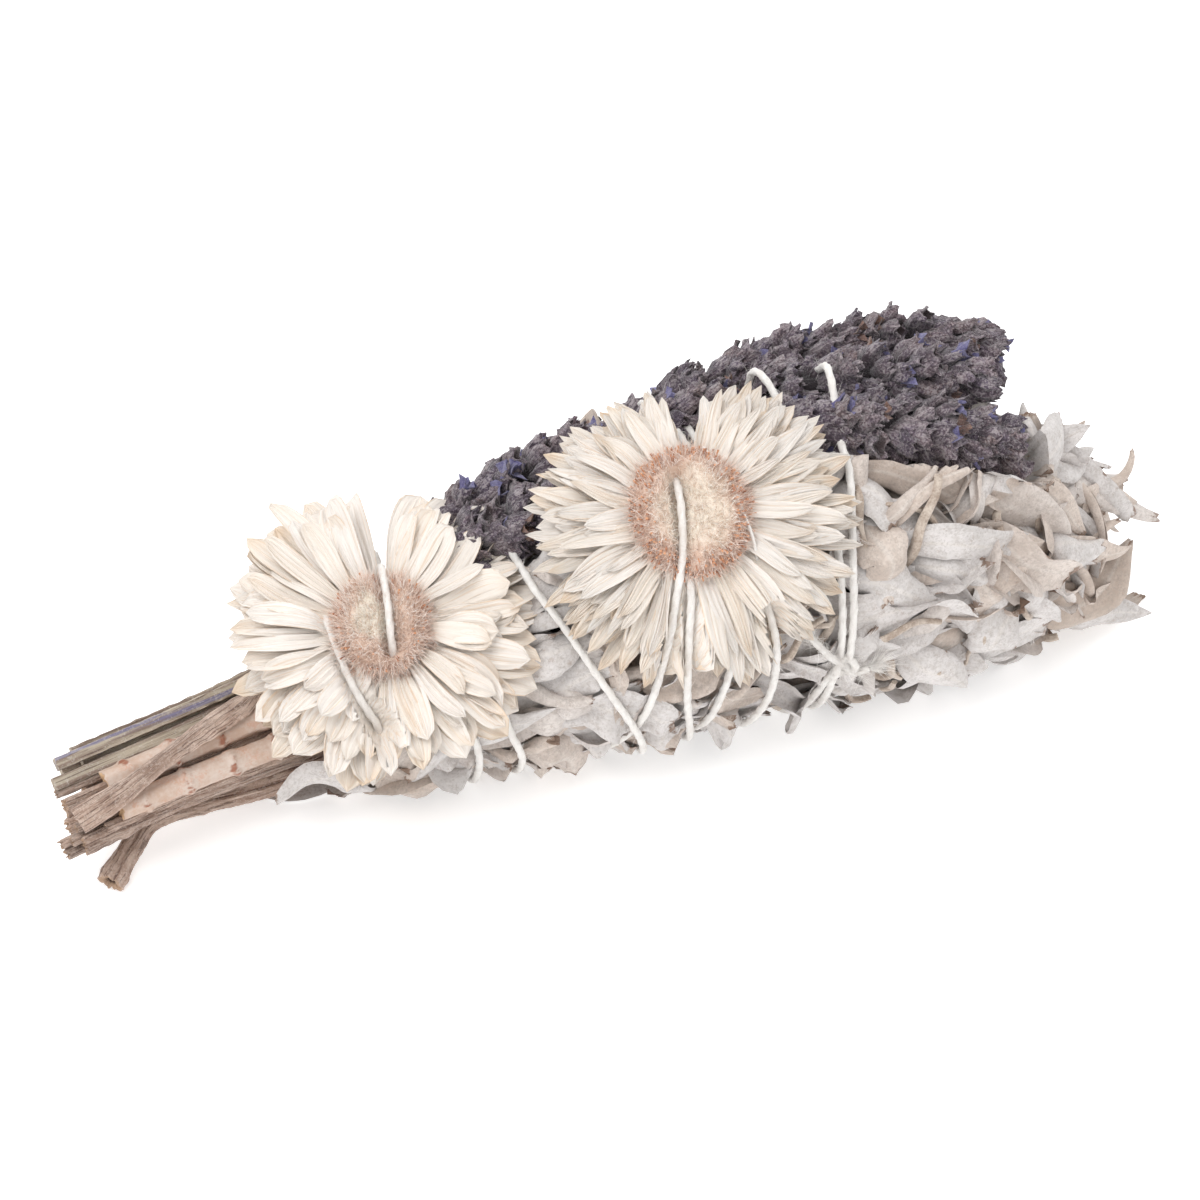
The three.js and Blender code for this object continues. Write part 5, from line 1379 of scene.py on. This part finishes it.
def bract_layer(flower, look, layer, seed):
    """One layer of bracts, closed blades on the bent head, and their shades.

    Each runs from 4 mm off the axis to its reach, rising from its root to its tip by t^1.3 plus an arch,
    and its tip may hook up and back. Round ones widen to 0.66 of the length and close as a superellipse.
    Pointed ones are widest at 0.4 and close in a straight point. The face is cupped and pleated along.
    Those near STANDING_AT stand up by raised, or lie lower where it is negative. The head's shift makes
    bracts on one side longer.
    """
    head = head_frame(flower)
    share = layer / (look["layers"] - 1)
    row = np.array([np.interp(share * 3, range(4), [r[k] for r in BRACT_ROWS]) for k in range(4)])
    count = round(look["around"] * between(1.0, 0.82, share))
    i = np.arange(count)
    seed = seed + layer * 7

    def d(k):
        return draw(seed, i, k)[:, None]

    t = np.linspace(0, 1, BRACT_STATIONS)[None]
    turn = (i[:, None] + 0.5 * (layer % 2) + 0.9 * (d(1) - 0.5)) / count * 360
    turn = np.radians(off_notch(turn, look["notch"]))
    off = 1 + look["shift"][0] * np.cos(turn) + look["shift"][1] * np.sin(turn)
    reach = HEAD_SPREAD_R * row[0] * between(0.76, 1.03, d(2) ** 0.6) * off
    hook = look["hook"] * ease((t - 0.72) / 0.28) * between(0.1, 1.0, d(13))
    distance = between(4, reach, t) - 1.2 * hook
    wild = between(-1.0, 0.9, d(3)) * (0.5 + 0.6 * share)
    rise = between(row[2], row[1] + flower["tips"] + wild, t ** 1.3)
    rise = rise + between(0.1, 1.0, d(4)) * np.sin(np.pi * t) + 1.9 * hook
    standing = np.exp(-((np.degrees(turn) - STANDING_AT) / STANDING_WIDTH) ** 2)
    standing = standing * look["raised"] * between(0.6, 1.1, d(17))
    rise = rise + standing * t ** 1.4
    distance = distance * (1 + 0.012 * standing * t)
    rise = rise + 0.3 * np.sin(2 * np.pi * (1.4 * t + d(14)))
    rise = rise + (1 - look["hook"]) * between(-1, 1, d(5)) * t ** 5
    width = look["width"] * row[3] * between(0.72, 1.15, d(6))
    past = np.clip((t - 0.66) / 0.34, 0, 1)
    rounded = (0.42 + 0.58 * ease(t / 0.66)) * np.sqrt(np.maximum(1 - past ** 2.6, 0))
    closing = np.sqrt(np.maximum(1 - np.clip((t - 0.58) / 0.42, 0, 1) ** 1.5, 0))
    pointed = np.minimum(0.6 + 0.4 * ease(t / 0.35), closing)
    half = np.maximum(width / 2 * between(pointed, rounded, look["round"]), 0.04)
    deeper = (0.6 + look["round"] * ease((t - 0.5) / 0.5))[..., None]
    cup = column(between(0.05, 0.5, draw(seed, i, 7))) * deeper
    pleat = column(between(0.1, 0.32, draw(seed, i, 8)))
    folds = column(between(1.2, 2.4, draw(seed, i, 15)))
    phase = column(draw(seed, i, 9) * 6)
    tilt = column(between(-0.6, 0.6, draw(seed, i, 10))) * (0.4 + t[..., None])

    def camber(s):
        h = half[..., None]
        face = pleat * np.cos(2 * np.pi * folds * s + phase + t[..., None])
        face = face * (1 - s ** 4) * ease(t * 3)[..., None]
        return cup * h * s ** 2 + face * np.minimum(1, h) + tilt * h * s

    sideways, upwards, u, _ = arched_blade(half, BRACT_THICK, camber, look["corners"])
    sway = (between(-1.8, 1.8, d(11)) * t ** 2 + 0.35 * np.sin(2 * np.pi * (t + d(16))) * t)[..., None]
    across = (sideways + sway) / np.maximum(distance, 6)[..., None]
    rings = head_points(head, distance[..., None], turn[..., None] + across, rise[..., None] + upwards)
    return rings, u, draw(seed, i, 12) * 0.7 + 0.3 * (1 - share)


def add_bracts(skin, flower, look, lines, seed):
    """The head's layers of bracts, pressed down by the string that crosses them, and the cup that they grow
    from."""
    for layer in range(look["layers"]):
        rings, u, tone = bract_layer(flower, look, layer, seed)
        for line in lines:
            rings = pressed_under(rings, line, STRING_R, BRACT_GROOVE)
        skin.add(rings, around=u, tone=tone)
    a = ring_angles(40)
    r = np.array([0.3, 1, 1, 0.3])[:, None] * (flower["disc"] + 0.4)
    rise = np.array([0.1, 0.1, RECEPTACLE_H - 1, RECEPTACLE_H - 1])[:, None]
    skin.add(head_points(head_frame(flower), r, a[None], rise + 0 * a[None]), tone=0.2)


def disc_rise(share, turn, seed):
    """The disc's height: a pillow that drops at its rim, a ring round a shallow dip, and lumps."""
    ring = 1.2 * np.exp(-((share - 0.66) / 0.26) ** 2)
    dome = (DISC_H + DISC_RIM) * np.maximum(1 - np.minimum(share, 1.06) ** 5, -0.4)
    return RECEPTACLE_H + GAP + dome + ring + 0.8 * waves(share * 3, turn / 3, seed, 5)


def disc_shade(look, radius, share, turn, seed):
    """The shade at a share of the disc's radius: inside, the distance is taken from the middle of the cream
    part."""
    aside = np.array(look["cream"]) / radius * np.maximum(0, 1 - share)[..., None]
    u, v = share * np.cos(turn) - aside[..., 0], share * np.sin(turn) - aside[..., 1]
    uneven = 0.09 * waves(turn / (2 * np.pi) * 2, share, seed + 3, 4, 2.0) * np.minimum(1, share * 2)
    return np.interp(np.hypot(u, v) + uneven, *zip(*look["shades"]))


def add_disc(skin, flower, look, lines, seed):
    """The disc: a pillow, florets standing on its outer part and down all over, all dented by the string."""
    head = head_frame(flower)
    radius = flower["disc"] * look["size"]

    def dented(points):
        for line in lines:
            points = pressed_under(points, line, STRING_R, DISC_GROOVE)
        return points

    share = np.array([0.85, 0.97, 1.0, 0.97, 0.92, 0.85, 0.77, 0.69, 0.6, 0.51, 0.42, 0.33, 0.24, 0.15, 0.07])
    share = share[:, None]
    a = ring_angles(72)[None]
    rise = disc_rise(share, a, seed)
    rise[:2] = RECEPTACLE_H - 0.8
    shade = disc_shade(look, radius, share, a, seed)
    skin.add(dented(head_points(head, share * radius, a + 0 * share, rise)), tone=shade[None])
    add_florets(skin, flower, look, dented, seed)
    for count, inner, outer, number in ((DISC_HAIRS, 0, 1.0, 3), (MARGIN_HAIRS, 0.94, 1.14, 8)):
        i = np.arange(count)
        where = np.sqrt(between(inner ** 2, outer ** 2, draw(seed + number, i, 1)))
        turn = draw(seed + number, i, 2) * 2 * np.pi
        low = np.where(where > 1, RECEPTACLE_H - 0.6, disc_rise(where, turn, seed) - 0.15)
        root = head_points(head, where * radius, turn, low)
        lean = between(0.05, 1.3, where ** 3) + 0.9 * (draw(seed + number, i, 3) - 0.5)
        swing = 0.2 * (draw(seed + number, i, 4) - 0.5)
        tip = head_points(head, where * radius + lean, turn + swing, low + 0.8)
        lengths = between(0.6, 1.7, draw(seed + number, i, 5)) * (0.55 + 0.6 * where)
        rings, tips = hairs(root, unit(tip - root), lengths, 0.055, seed + 5, 0.7)
        moved = dented(root) - root
        shade = disc_shade(look, radius, where + 0.12 * (draw(seed + number, i, 6) - 0.5), turn, seed)
        rings = rings + moved[:, None, None]
        skin.add_hairs(rings, tips + moved, tone=shade, kind=1.0, edge=draw(seed, i, 7))


def add_florets(skin, flower, look, dented, seed):
    """Slim florets in the disc's outer rings: four-sided tubes leaning out, with a split tip."""
    head = head_frame(flower)
    i = np.arange(look["florets"])
    where = between(0.66, 1.0, draw(seed + 1, i, 1) ** 0.7)
    turn = i * GOLDEN_ANGLE + 0.3 * draw(seed + 1, i, 2)
    t = np.array([0, 0.5, 0.85, 1.0])[None]
    length = between(0.7, 1.5, draw(seed + 1, i, 3))[:, None]
    lean = (where[:, None] - 0.45) * 1.5
    distance = where[:, None] * flower["disc"] * look["size"] + length * lean * t
    rise = disc_rise(where, turn, seed)[:, None] - 0.2 + length * np.sqrt(np.maximum(1 - lean ** 2, 0.15)) * t
    path = head_points(head, distance, turn[:, None] + 0 * t, rise)
    path = path + (dented(path[:, 0]) - path[:, 0])[:, None]
    across, over = frames_along(path, head[1] + np.array([0.3, 0.2, 0.1]))
    a = ring_angles(4)
    r = np.array([0.1, 0.11, 0.13, 0.17])[None, :, None] * (0.8 + 0.5 * draw(seed + 1, i, 4))[:, None, None]
    skin.add(tube(path, across, over, r, a), tone=draw(seed + 1, i, 5), kind=0.5)


def bract_material():
    """Papery bracts: cream, with fine lines along them, tan at tips and edges, and a painted warm shade
    towards the roots.
    """
    f = Finish("strawflower_bract", Roughness=0.55, Specular_IOR_Level=0.3, Sheen_Weight=0.1)
    n = f.n
    tone, uv = n.mark("tone"), f.uv()
    colour = n.mix(n.remap(tone, 0.1, 0.95), rgb(247, 241, 235), rgb(244, 235, 224))
    lines = f.streaks(20.0, 1.0, tone)
    fine = f.streaks(48.0, 2.0, tone)
    colour = n.over(colour, n.remap(lines, 0.54, 0.64), 0.55, rgb(230, 206, 182))
    colour = n.over(colour, n.remap(fine, 0.54, 0.66), 0.35, rgb(234, 214, 194))
    tip = n.math("MULTIPLY", n.remap(uv["Y"], 0.8, 1.0), n.remap(tone, 0.45, 0.9))
    colour = n.over(colour, tip, 0.45, rgb(232, 196, 152))
    aside = n.math("ABSOLUTE", n.math("MULTIPLY_ADD", uv["X"], 2.0, -1.0))
    edge = n.math("MULTIPLY", n.remap(aside, 0.86, 1.0), n.remap(f.blotch(150.0), 0.3, 0.9))
    colour = n.over(colour, edge, 0.5, rgb(222, 184, 140))
    # Painted shade: warm tan towards each bract's root, under the disc and the layers that lie over it.
    colour = n.over(colour, n.remap(uv["Y"], 0.4, 0.05), 0.3, rgb(234, 210, 182))
    height = n.math("ADD", lines, n.math("MULTIPLY", fine, 0.6))
    return f.done(colour, height, 0.9, 0.00025)


def disc_material():
    """The disc: cream, taupe, rusty and white down by its shade, over rusty florets, each hair with painted
    shade towards its root.
    """
    f = Finish("strawflower_disc", Roughness=0.92, Sheen_Weight=0.3)
    n = f.n
    tone, kind, chance = n.mark("tone"), n.mark("kind"), n.mark("edge")
    down = n.mix(n.remap(tone, 0.1, 0.5), rgb(255, 250, 240), rgb(246, 227, 214))
    down = n.over(down, n.remap(tone, 0.55, 0.85), n.remap(chance, 0.55, 0.7), rgb(212, 158, 124))
    down = n.mix(n.remap(tone, 0.92, 1.08), down, rgb(250, 243, 234))
    down = n.over(down, n.remap(chance, 0.62, 0.9), 0.9, rgb(255, 253, 250))
    down = n.over(down, n.remap(chance, 0.3, 0.1), n.remap(tone, 1.0, 0.6), rgb(204, 172, 150))
    # Painted shade: each hair is darker towards its root, down in the pile.
    root = n.mix(n.remap(tone, 0.2, 0.6), rgb(236, 222, 202), rgb(190, 150, 128))
    down = n.mix(n.remap(f.uv()["Y"], 0.75, 0.1, 0.0, 0.6), down, root)
    base = n.mix(n.remap(tone, 0.1, 0.5), rgb(255, 249, 236), rgb(226, 200, 182))
    base = n.over(base, f.blotch(700.0), 0.5, rgb(190, 158, 138))
    floret = n.mix(n.remap(tone, 0.3, 0.9), rgb(214, 158, 120), rgb(176, 120, 90))
    colour = n.mix(n.remap(kind, 0.3, 0.45), base, floret)
    colour = n.mix(n.remap(kind, 0.7, 0.9), colour, down)
    return f.done(colour, f.grain(2800.0), 0.5, 0.00025)


# ---- String ----

STRING_STEP = 0.75
STRING_CORNERS = 15
STRING_FULL = 0.74
PLY_PITCH = 3.2
LOOSE_STRAND = [[10.5, 66, 7.2], [11.2, 58, 8.2], [12.2, 49, 8.0], [13.2, 40, 6.8], [13.6, 33, 5.4]]


def twisted(path, up, radius, phase=0.0):
    """Three plies laid round each other: radius (0.78 + 0.24 |cos(1.5 (a - twist))|) with the twist growing
    along."""
    across, over = frames_along(path, up)
    length = np.concatenate([[0], np.cumsum(np.linalg.norm(np.diff(path, axis=0), axis=1))])[:, None]
    a = ring_angles(STRING_CORNERS)[None]
    lay = a - 2 * np.pi * length / PLY_PITCH + phase
    r = radius * (0.78 + 0.24 * np.abs(np.cos(1.5 * lay))) * (1 + waves(length / 7, a / 6, 305, 5, 0.22))
    return tube(path, across, over, r, a)


def add_fuzz(skin, rings, path, seed, per_mm, shortest, longest):
    """Loose fibres that leave the string's skin aslant."""
    total = np.linalg.norm(np.diff(path, axis=0), axis=1).sum()
    i = np.arange(round(total * per_mm))
    station = np.floor(draw(seed, i, 1) * (len(path) - 1)).astype(int)
    corner = np.floor(draw(seed, i, 2) * rings.shape[1]).astype(int)
    roots = between(rings[station, corner], rings[station + 1, corner], draw(seed, i, 5)[:, None])
    away = unit(roots - between(path[station], path[station + 1], draw(seed, i, 5)[:, None]))
    tangent = unit(np.gradient(path, axis=0))[station] * np.where(draw(seed, i, 3) < 0.5, -1, 1)[:, None]
    lengths = between(shortest, longest, draw(seed, i, 4) ** 2.5)
    rings, tips = hairs(roots - away * 0.08, unit(away * 0.6 + tangent), lengths, 0.03, seed + 1, 0.8)
    skin.add_hairs(rings, tips, tone=0.5, kind=1.0)


def knot_route(k):
    """A third of the knot's loop: a circle of the knot's radius that rises and falls twice."""
    centre = on_outline([KNOT_AT])[0]
    t = np.linspace(k / 3, (k + 1) / 3, 16)[:, None] * 2 * np.pi
    a = math.radians(KNOT_AT[1])
    outward = np.array([0, -math.cos(a), math.sin(a)])
    round_it = np.array([0, math.sin(a), math.cos(a)])
    circle = np.array([KNOT_R, 0, 0]) * np.cos(t) + round_it * KNOT_R * np.sin(t)
    return centre + circle + outward * 0.6 * np.cos(2 * t)


def add_tail(skin, tail, seed):
    """A free end: the twisted string, then its fibres fanning out."""
    path = smooth_route(on_outline(tail), 0.5)
    rings = twisted(path, outward_at(np.full(len(path), float(tail[0][1]))), STRING_R * 0.7)
    skin.add(rings, tone=0.4)
    add_fuzz(skin, rings, path, seed, 30, 0.8, 3.5)
    i = np.arange(160)
    wide = np.stack([draw(seed + 7, i, k) - 0.5 for k in (1, 2, 3)], -1)
    spray = unit(unit(path[-1] - path[-3]) + 1.1 * wide)
    roots = path[-1] + 0.5 * np.stack([draw(seed + 7, i, k) - 0.5 for k in (4, 5, 6)], -1)
    rings, tips = hairs(roots, spray, between(1.5, 5.5, draw(seed + 7, i, 7)), 0.045, seed + 9, 0.35)
    skin.add_hairs(rings, tips, tone=0.5, kind=1.0)


def string_material():
    """White cotton: soft fibres along the lay, with a little painted grey shade in the grooves."""
    f = Finish("cotton_string", Roughness=0.92, Sheen_Weight=0.3, Sheen_Roughness=0.35)
    n = f.n
    colour = f.mottle(rgb(251, 248, 244), rgb(238, 233, 228), 700.0)
    fibres = f.grain(4200.0, 0.7)
    # Painted shade: grey in the low places of the fibre grain.
    colour = n.over(colour, n.remap(fibres, 0.75, 0.5), 0.35, rgb(210, 202, 194))
    return f.done(colour, fibres, 0.8, 0.0003)


# ---- Sizes and colours that a user would change ----


class StageSettings(bpy.types.PropertyGroup):
    """The camera, the light and the floor."""

    lens: bpy.props.FloatProperty(
        name="Lens", description="Focal length of the camera", default=85.0, unit="CAMERA")
    distance: bpy.props.FloatProperty(
        name="Distance", description="From the camera to the middle of the bunch", default=0.43,
        subtype="DISTANCE")
    floor_size: bpy.props.FloatProperty(
        name="Floor", description="Side of the floor", default=6.0, subtype="DISTANCE")
    light: bpy.props.FloatProperty(
        name="Light", description="Strength of the light from all round", default=0.92)
    key: bpy.props.FloatProperty(
        name="Key Light", description="Power of the lamp over the cut ends", default=4.0, subtype="POWER")
    fill: bpy.props.FloatProperty(
        name="Fill Light", description="Power of the lamp over the far side", default=2.2, subtype="POWER")


class SageSettings(bpy.types.PropertyGroup):
    """The sage leaves."""

    fullness: bpy.props.FloatProperty(name="Fullness", description="Leaves, as a share of the usual number",
                                      default=1.0, subtype="FACTOR")
    stalks: bpy.props.IntProperty(
        name="Stalks", description="Bare leaf stalks in each wedge", default=STALK_COUNT)


class HERB_OT_stage(bpy.types.Operator):
    """Makes the floor, the lights and the camera"""

    bl_idname = "herb.stage"
    bl_label = "Stage"

    def execute(self, context):
        settings = context.scene.herb_stage
        floor = bpy.data.meshes.new("floor")
        h = settings.floor_size / 2
        floor.from_pydata([(-h, -h, 0), (h, -h, 0), (h, h, 0), (-h, h, 0)], [], [(0, 1, 2, 3)])
        f = Finish("floor", Roughness=0.9)
        f.shader.inputs["Emission Color"].default_value = (1, 1, 1, 1)
        f.shader.inputs["Emission Strength"].default_value = FLOOR_GLOW
        floor.materials.append(f.done((0.86, 0.86, 0.86, 1)))
        piece = bpy.data.objects.new("floor", floor)
        context.scene.collection.objects.link(piece)
        self.lights(context, settings)
        self.camera(context, settings)
        context.scene.view_settings.view_transform = "Standard"
        return {"FINISHED"}

    def lights(self, context, settings):
        world = bpy.data.worlds.new("studio")
        world.use_nodes = True
        world.node_tree.nodes["Background"].inputs["Color"].default_value = (1, 1, 1, 1)
        world.node_tree.nodes["Background"].inputs["Strength"].default_value = settings.light
        context.scene.world = world
        lamps = (("key", KEY_AT, 0.5, settings.key), ("fill", FILL_AT, 0.8, settings.fill))
        for name, at, size, power in lamps:
            light = bpy.data.lights.new(name, "AREA")
            light.size = size
            light.energy = power
            lamp = bpy.data.objects.new(name, light)
            lamp.location = at
            lamp.rotation_euler = aimed(at, (0, 0, 0.02))
            context.scene.collection.objects.link(lamp)

    def camera(self, context, settings):
        a, e = np.radians(CAMERA_AT)
        back = np.array([math.sin(a) * math.cos(e), -math.cos(a) * math.cos(e), math.sin(e)])
        aim = (np.array(CAMERA_AIM) - MIDDLE) * MM
        camera = bpy.data.cameras.new("camera")
        camera.lens = settings.lens
        camera.clip_start = 0.01
        eye = bpy.data.objects.new("camera", camera)
        eye.location = aim + back * settings.distance
        eye.rotation_euler = aimed(eye.location, aim)
        context.scene.collection.objects.link(eye)
        context.scene.camera = eye


def aimed(from_point, to_point):
    """The turn of a camera or lamp at one point that looks at another."""
    return (Vector(to_point) - Vector(from_point)).to_track_quat("-Z", "Y").to_euler()


class HERB_OT_stems(bpy.types.Operator):
    """Makes the sage stems, in bark and peeled"""

    bl_idname = "herb.stems"
    bl_label = "Sage Stems"

    def execute(self, context):
        bark, peeled = bark_material(), peeled_material()
        for i, stem in enumerate(STEMS):
            skin = Skin()
            add_stem(skin, stem, i)
            for k, (*twig, host) in enumerate(TWIGS):
                if host == i:
                    add_stem(skin, (*twig, 0, 0), 20 + k)
            if i == BARK_STRIP_STEM:
                add_bark_strip(skin)
            piece = skin.piece(f"sage_stem_{i + 1}_bark", peeled if stem[4] else bark)
            finish_piece(piece, "peeled_sage_wood" if stem[4] else "sage_wood", f"sage_stem_{i + 1}")
        return {"FINISHED"}


class HERB_OT_leaves(bpy.types.Operator):
    """Makes the sage leaves, wedge by wedge"""

    bl_idname = "herb.leaves"
    bl_label = "Sage Leaves"

    def execute(self, context):
        settings = context.scene.herb_sage
        material = sage_leaf_material()
        for w, wedge in enumerate(WEDGES):
            skin = Skin()
            # The core's kind 1 makes the leaf material paint it dark, as painted shade between the leaves.
            skin.add(crumpled_core(wedge, w), tone=0.5, kind=1.0)
            self.add(skin, main_leaves(wedge, w), wedge, 161 + 20 * w)
            for number, (kind, count) in enumerate(zip(LEAF_KINDS, LEAF_COUNTS)):
                seed = 162 + 20 * w + 2 * number
                self.add(skin, drawn_leaves(kind, round(count * settings.fullness), wedge, seed), wedge, seed)
            single, shade = single_leaves(w)
            if single:
                self.add(skin, single, wedge, 178 + 20 * w, shade)
            skin.add(settle(leaf_stalks(wedge, 176 + 20 * w, settings.stalks)), tone=0.5, kind=0.65)
            piece = skin.piece(f"sage_leaves_{w + 1}_felt", material)
            finish_piece(piece, "sage_leaf", f"sage_leaves_{w + 1}")
        return {"FINISHED"}

    def add(self, skin, leaf, wedge, seed, shade=None):
        rings, u, edge = leaf_rings(leaf, wedge, seed)
        if shade is None:
            shade = draw(seed + 1, np.arange(len(rings)), 1)
            shade = np.clip(shade * 0.75 + 0.3 * ease((leaf["x"] - 30) / 40), 0, 1)
        skin.add(settle(rings), around=u, tone=shade, edge=edge)


class HERB_OT_lavender(bpy.types.Operator):
    """Makes the lavender stalks and spikes"""

    bl_idname = "herb.lavender"
    bl_label = "Lavender"

    def execute(self, context):
        flowers, stalks = lavender_material(), stalk_material()
        for i, lavender in enumerate(LAVENDER):
            skin = Skin()
            add_stalk(skin, lavender, i)
            piece = skin.piece(f"lavender_stalk_{i + 1}_rind", stalks)
            finish_piece(piece, "lavender_stalk", f"lavender_stalk_{i + 1}")
            skin = Skin()
            add_spike(skin, lavender, i)
            piece = skin.piece(f"lavender_spike_{i + 1}_flowers", flowers)
            finish_piece(piece, "lavender_flower", f"lavender_spike_{i + 1}")
        return {"FINISHED"}


class HERB_OT_strawflowers(bpy.types.Operator):
    """Makes the strawflower heads"""

    bl_idname = "herb.strawflowers"
    bl_label = "Strawflowers"

    def execute(self, context):
        papery, downy = bract_material(), disc_material()
        for i, (flower, look) in enumerate(zip(STRAWFLOWERS, HEADS)):
            over_bracts = [stretch_of_string(*rows) for rows in OVER_BRACTS[i]]
            over_disc = [stretch_of_string(*rows) for rows in OVER_DISC[i]]
            skin = Skin()
            add_bracts(skin, flower, look, over_bracts, 401 + 100 * i)
            piece = skin.piece(f"strawflower_{i + 1}_paper", papery)
            finish_piece(piece, "strawflower_bract", f"strawflower_{i + 1}_bracts")
            skin = Skin()
            add_disc(skin, flower, look, over_disc, 501 + 100 * i)
            piece = skin.piece(f"strawflower_{i + 1}_down", downy)
            finish_piece(piece, "strawflower_disc", f"strawflower_{i + 1}_disc")
        return {"FINISHED"}


class HERB_OT_string(bpy.types.Operator):
    """Makes the cotton string with its knot and tails"""

    bl_idname = "herb.string"
    bl_label = "Cotton String"

    def execute(self, context):
        skin = Skin()
        path = string_path(STRING_STEP)
        path[:, 2] = np.maximum(path[:, 2], STRING_R)
        rings = twisted(path, outward_at(unplace(path)[1]), STRING_R * STRING_FULL)
        skin.add(rings, tone=0.4)
        add_fuzz(skin, rings, path, 311, 5, 0.3, 2.0)
        for k in range(3):
            loop = knot_route(k)
            part = twisted(loop, np.array([0, -0.98, -0.19]), STRING_R * STRING_FULL, k)
            skin.add(part, tone=0.4)
            add_fuzz(skin, part, loop, 321 + k, 24, 0.5, 3.2)
        for k, tail in enumerate(TAILS):
            add_tail(skin, tail, 331 + 10 * k)
        strand = smooth_route(on_outline(LOOSE_STRAND), 0.5)
        skin.add(twisted(strand, outward_at(unplace(strand)[1]), STRING_R * 0.3), tone=0.4)
        finish_piece(skin.piece("cotton_string_twist", string_material()), "cotton_string", "cotton_string")
        return {"FINISHED"}


class HERB_PT_panel(bpy.types.Panel):
    """Lists the operators and their settings"""

    bl_label = "Herb Bunch"
    bl_space_type = "VIEW_3D"
    bl_region_type = "UI"
    bl_category = "Herb Bunch"

    def draw(self, context):
        for operator in OPERATORS:
            self.layout.operator(operator.bl_idname)
        for settings in (context.scene.herb_stage, context.scene.herb_sage):
            for name in settings.__annotations__:
                self.layout.prop(settings, name)


SETTINGS = (StageSettings, SageSettings)
OPERATORS = (HERB_OT_stage, HERB_OT_stems, HERB_OT_leaves, HERB_OT_lavender, HERB_OT_strawflowers,
             HERB_OT_string)


def register():
    for cls in (*SETTINGS, *OPERATORS, HERB_PT_panel):
        bpy.utils.register_class(cls)
    bpy.types.Scene.herb_stage = bpy.props.PointerProperty(type=StageSettings)
    bpy.types.Scene.herb_sage = bpy.props.PointerProperty(type=SageSettings)


def unregister():
    del bpy.types.Scene.herb_sage
    del bpy.types.Scene.herb_stage
    for cls in reversed((*SETTINGS, *OPERATORS, HERB_PT_panel)):
        bpy.utils.unregister_class(cls)


def main():
    register()
    bpy.ops.herb.stage()
    bpy.ops.herb.stems()
    bpy.ops.herb.leaves()
    bpy.ops.herb.lavender()
    bpy.ops.herb.strawflowers()
    bpy.ops.herb.string()


if __name__ == "__main__":
    main()
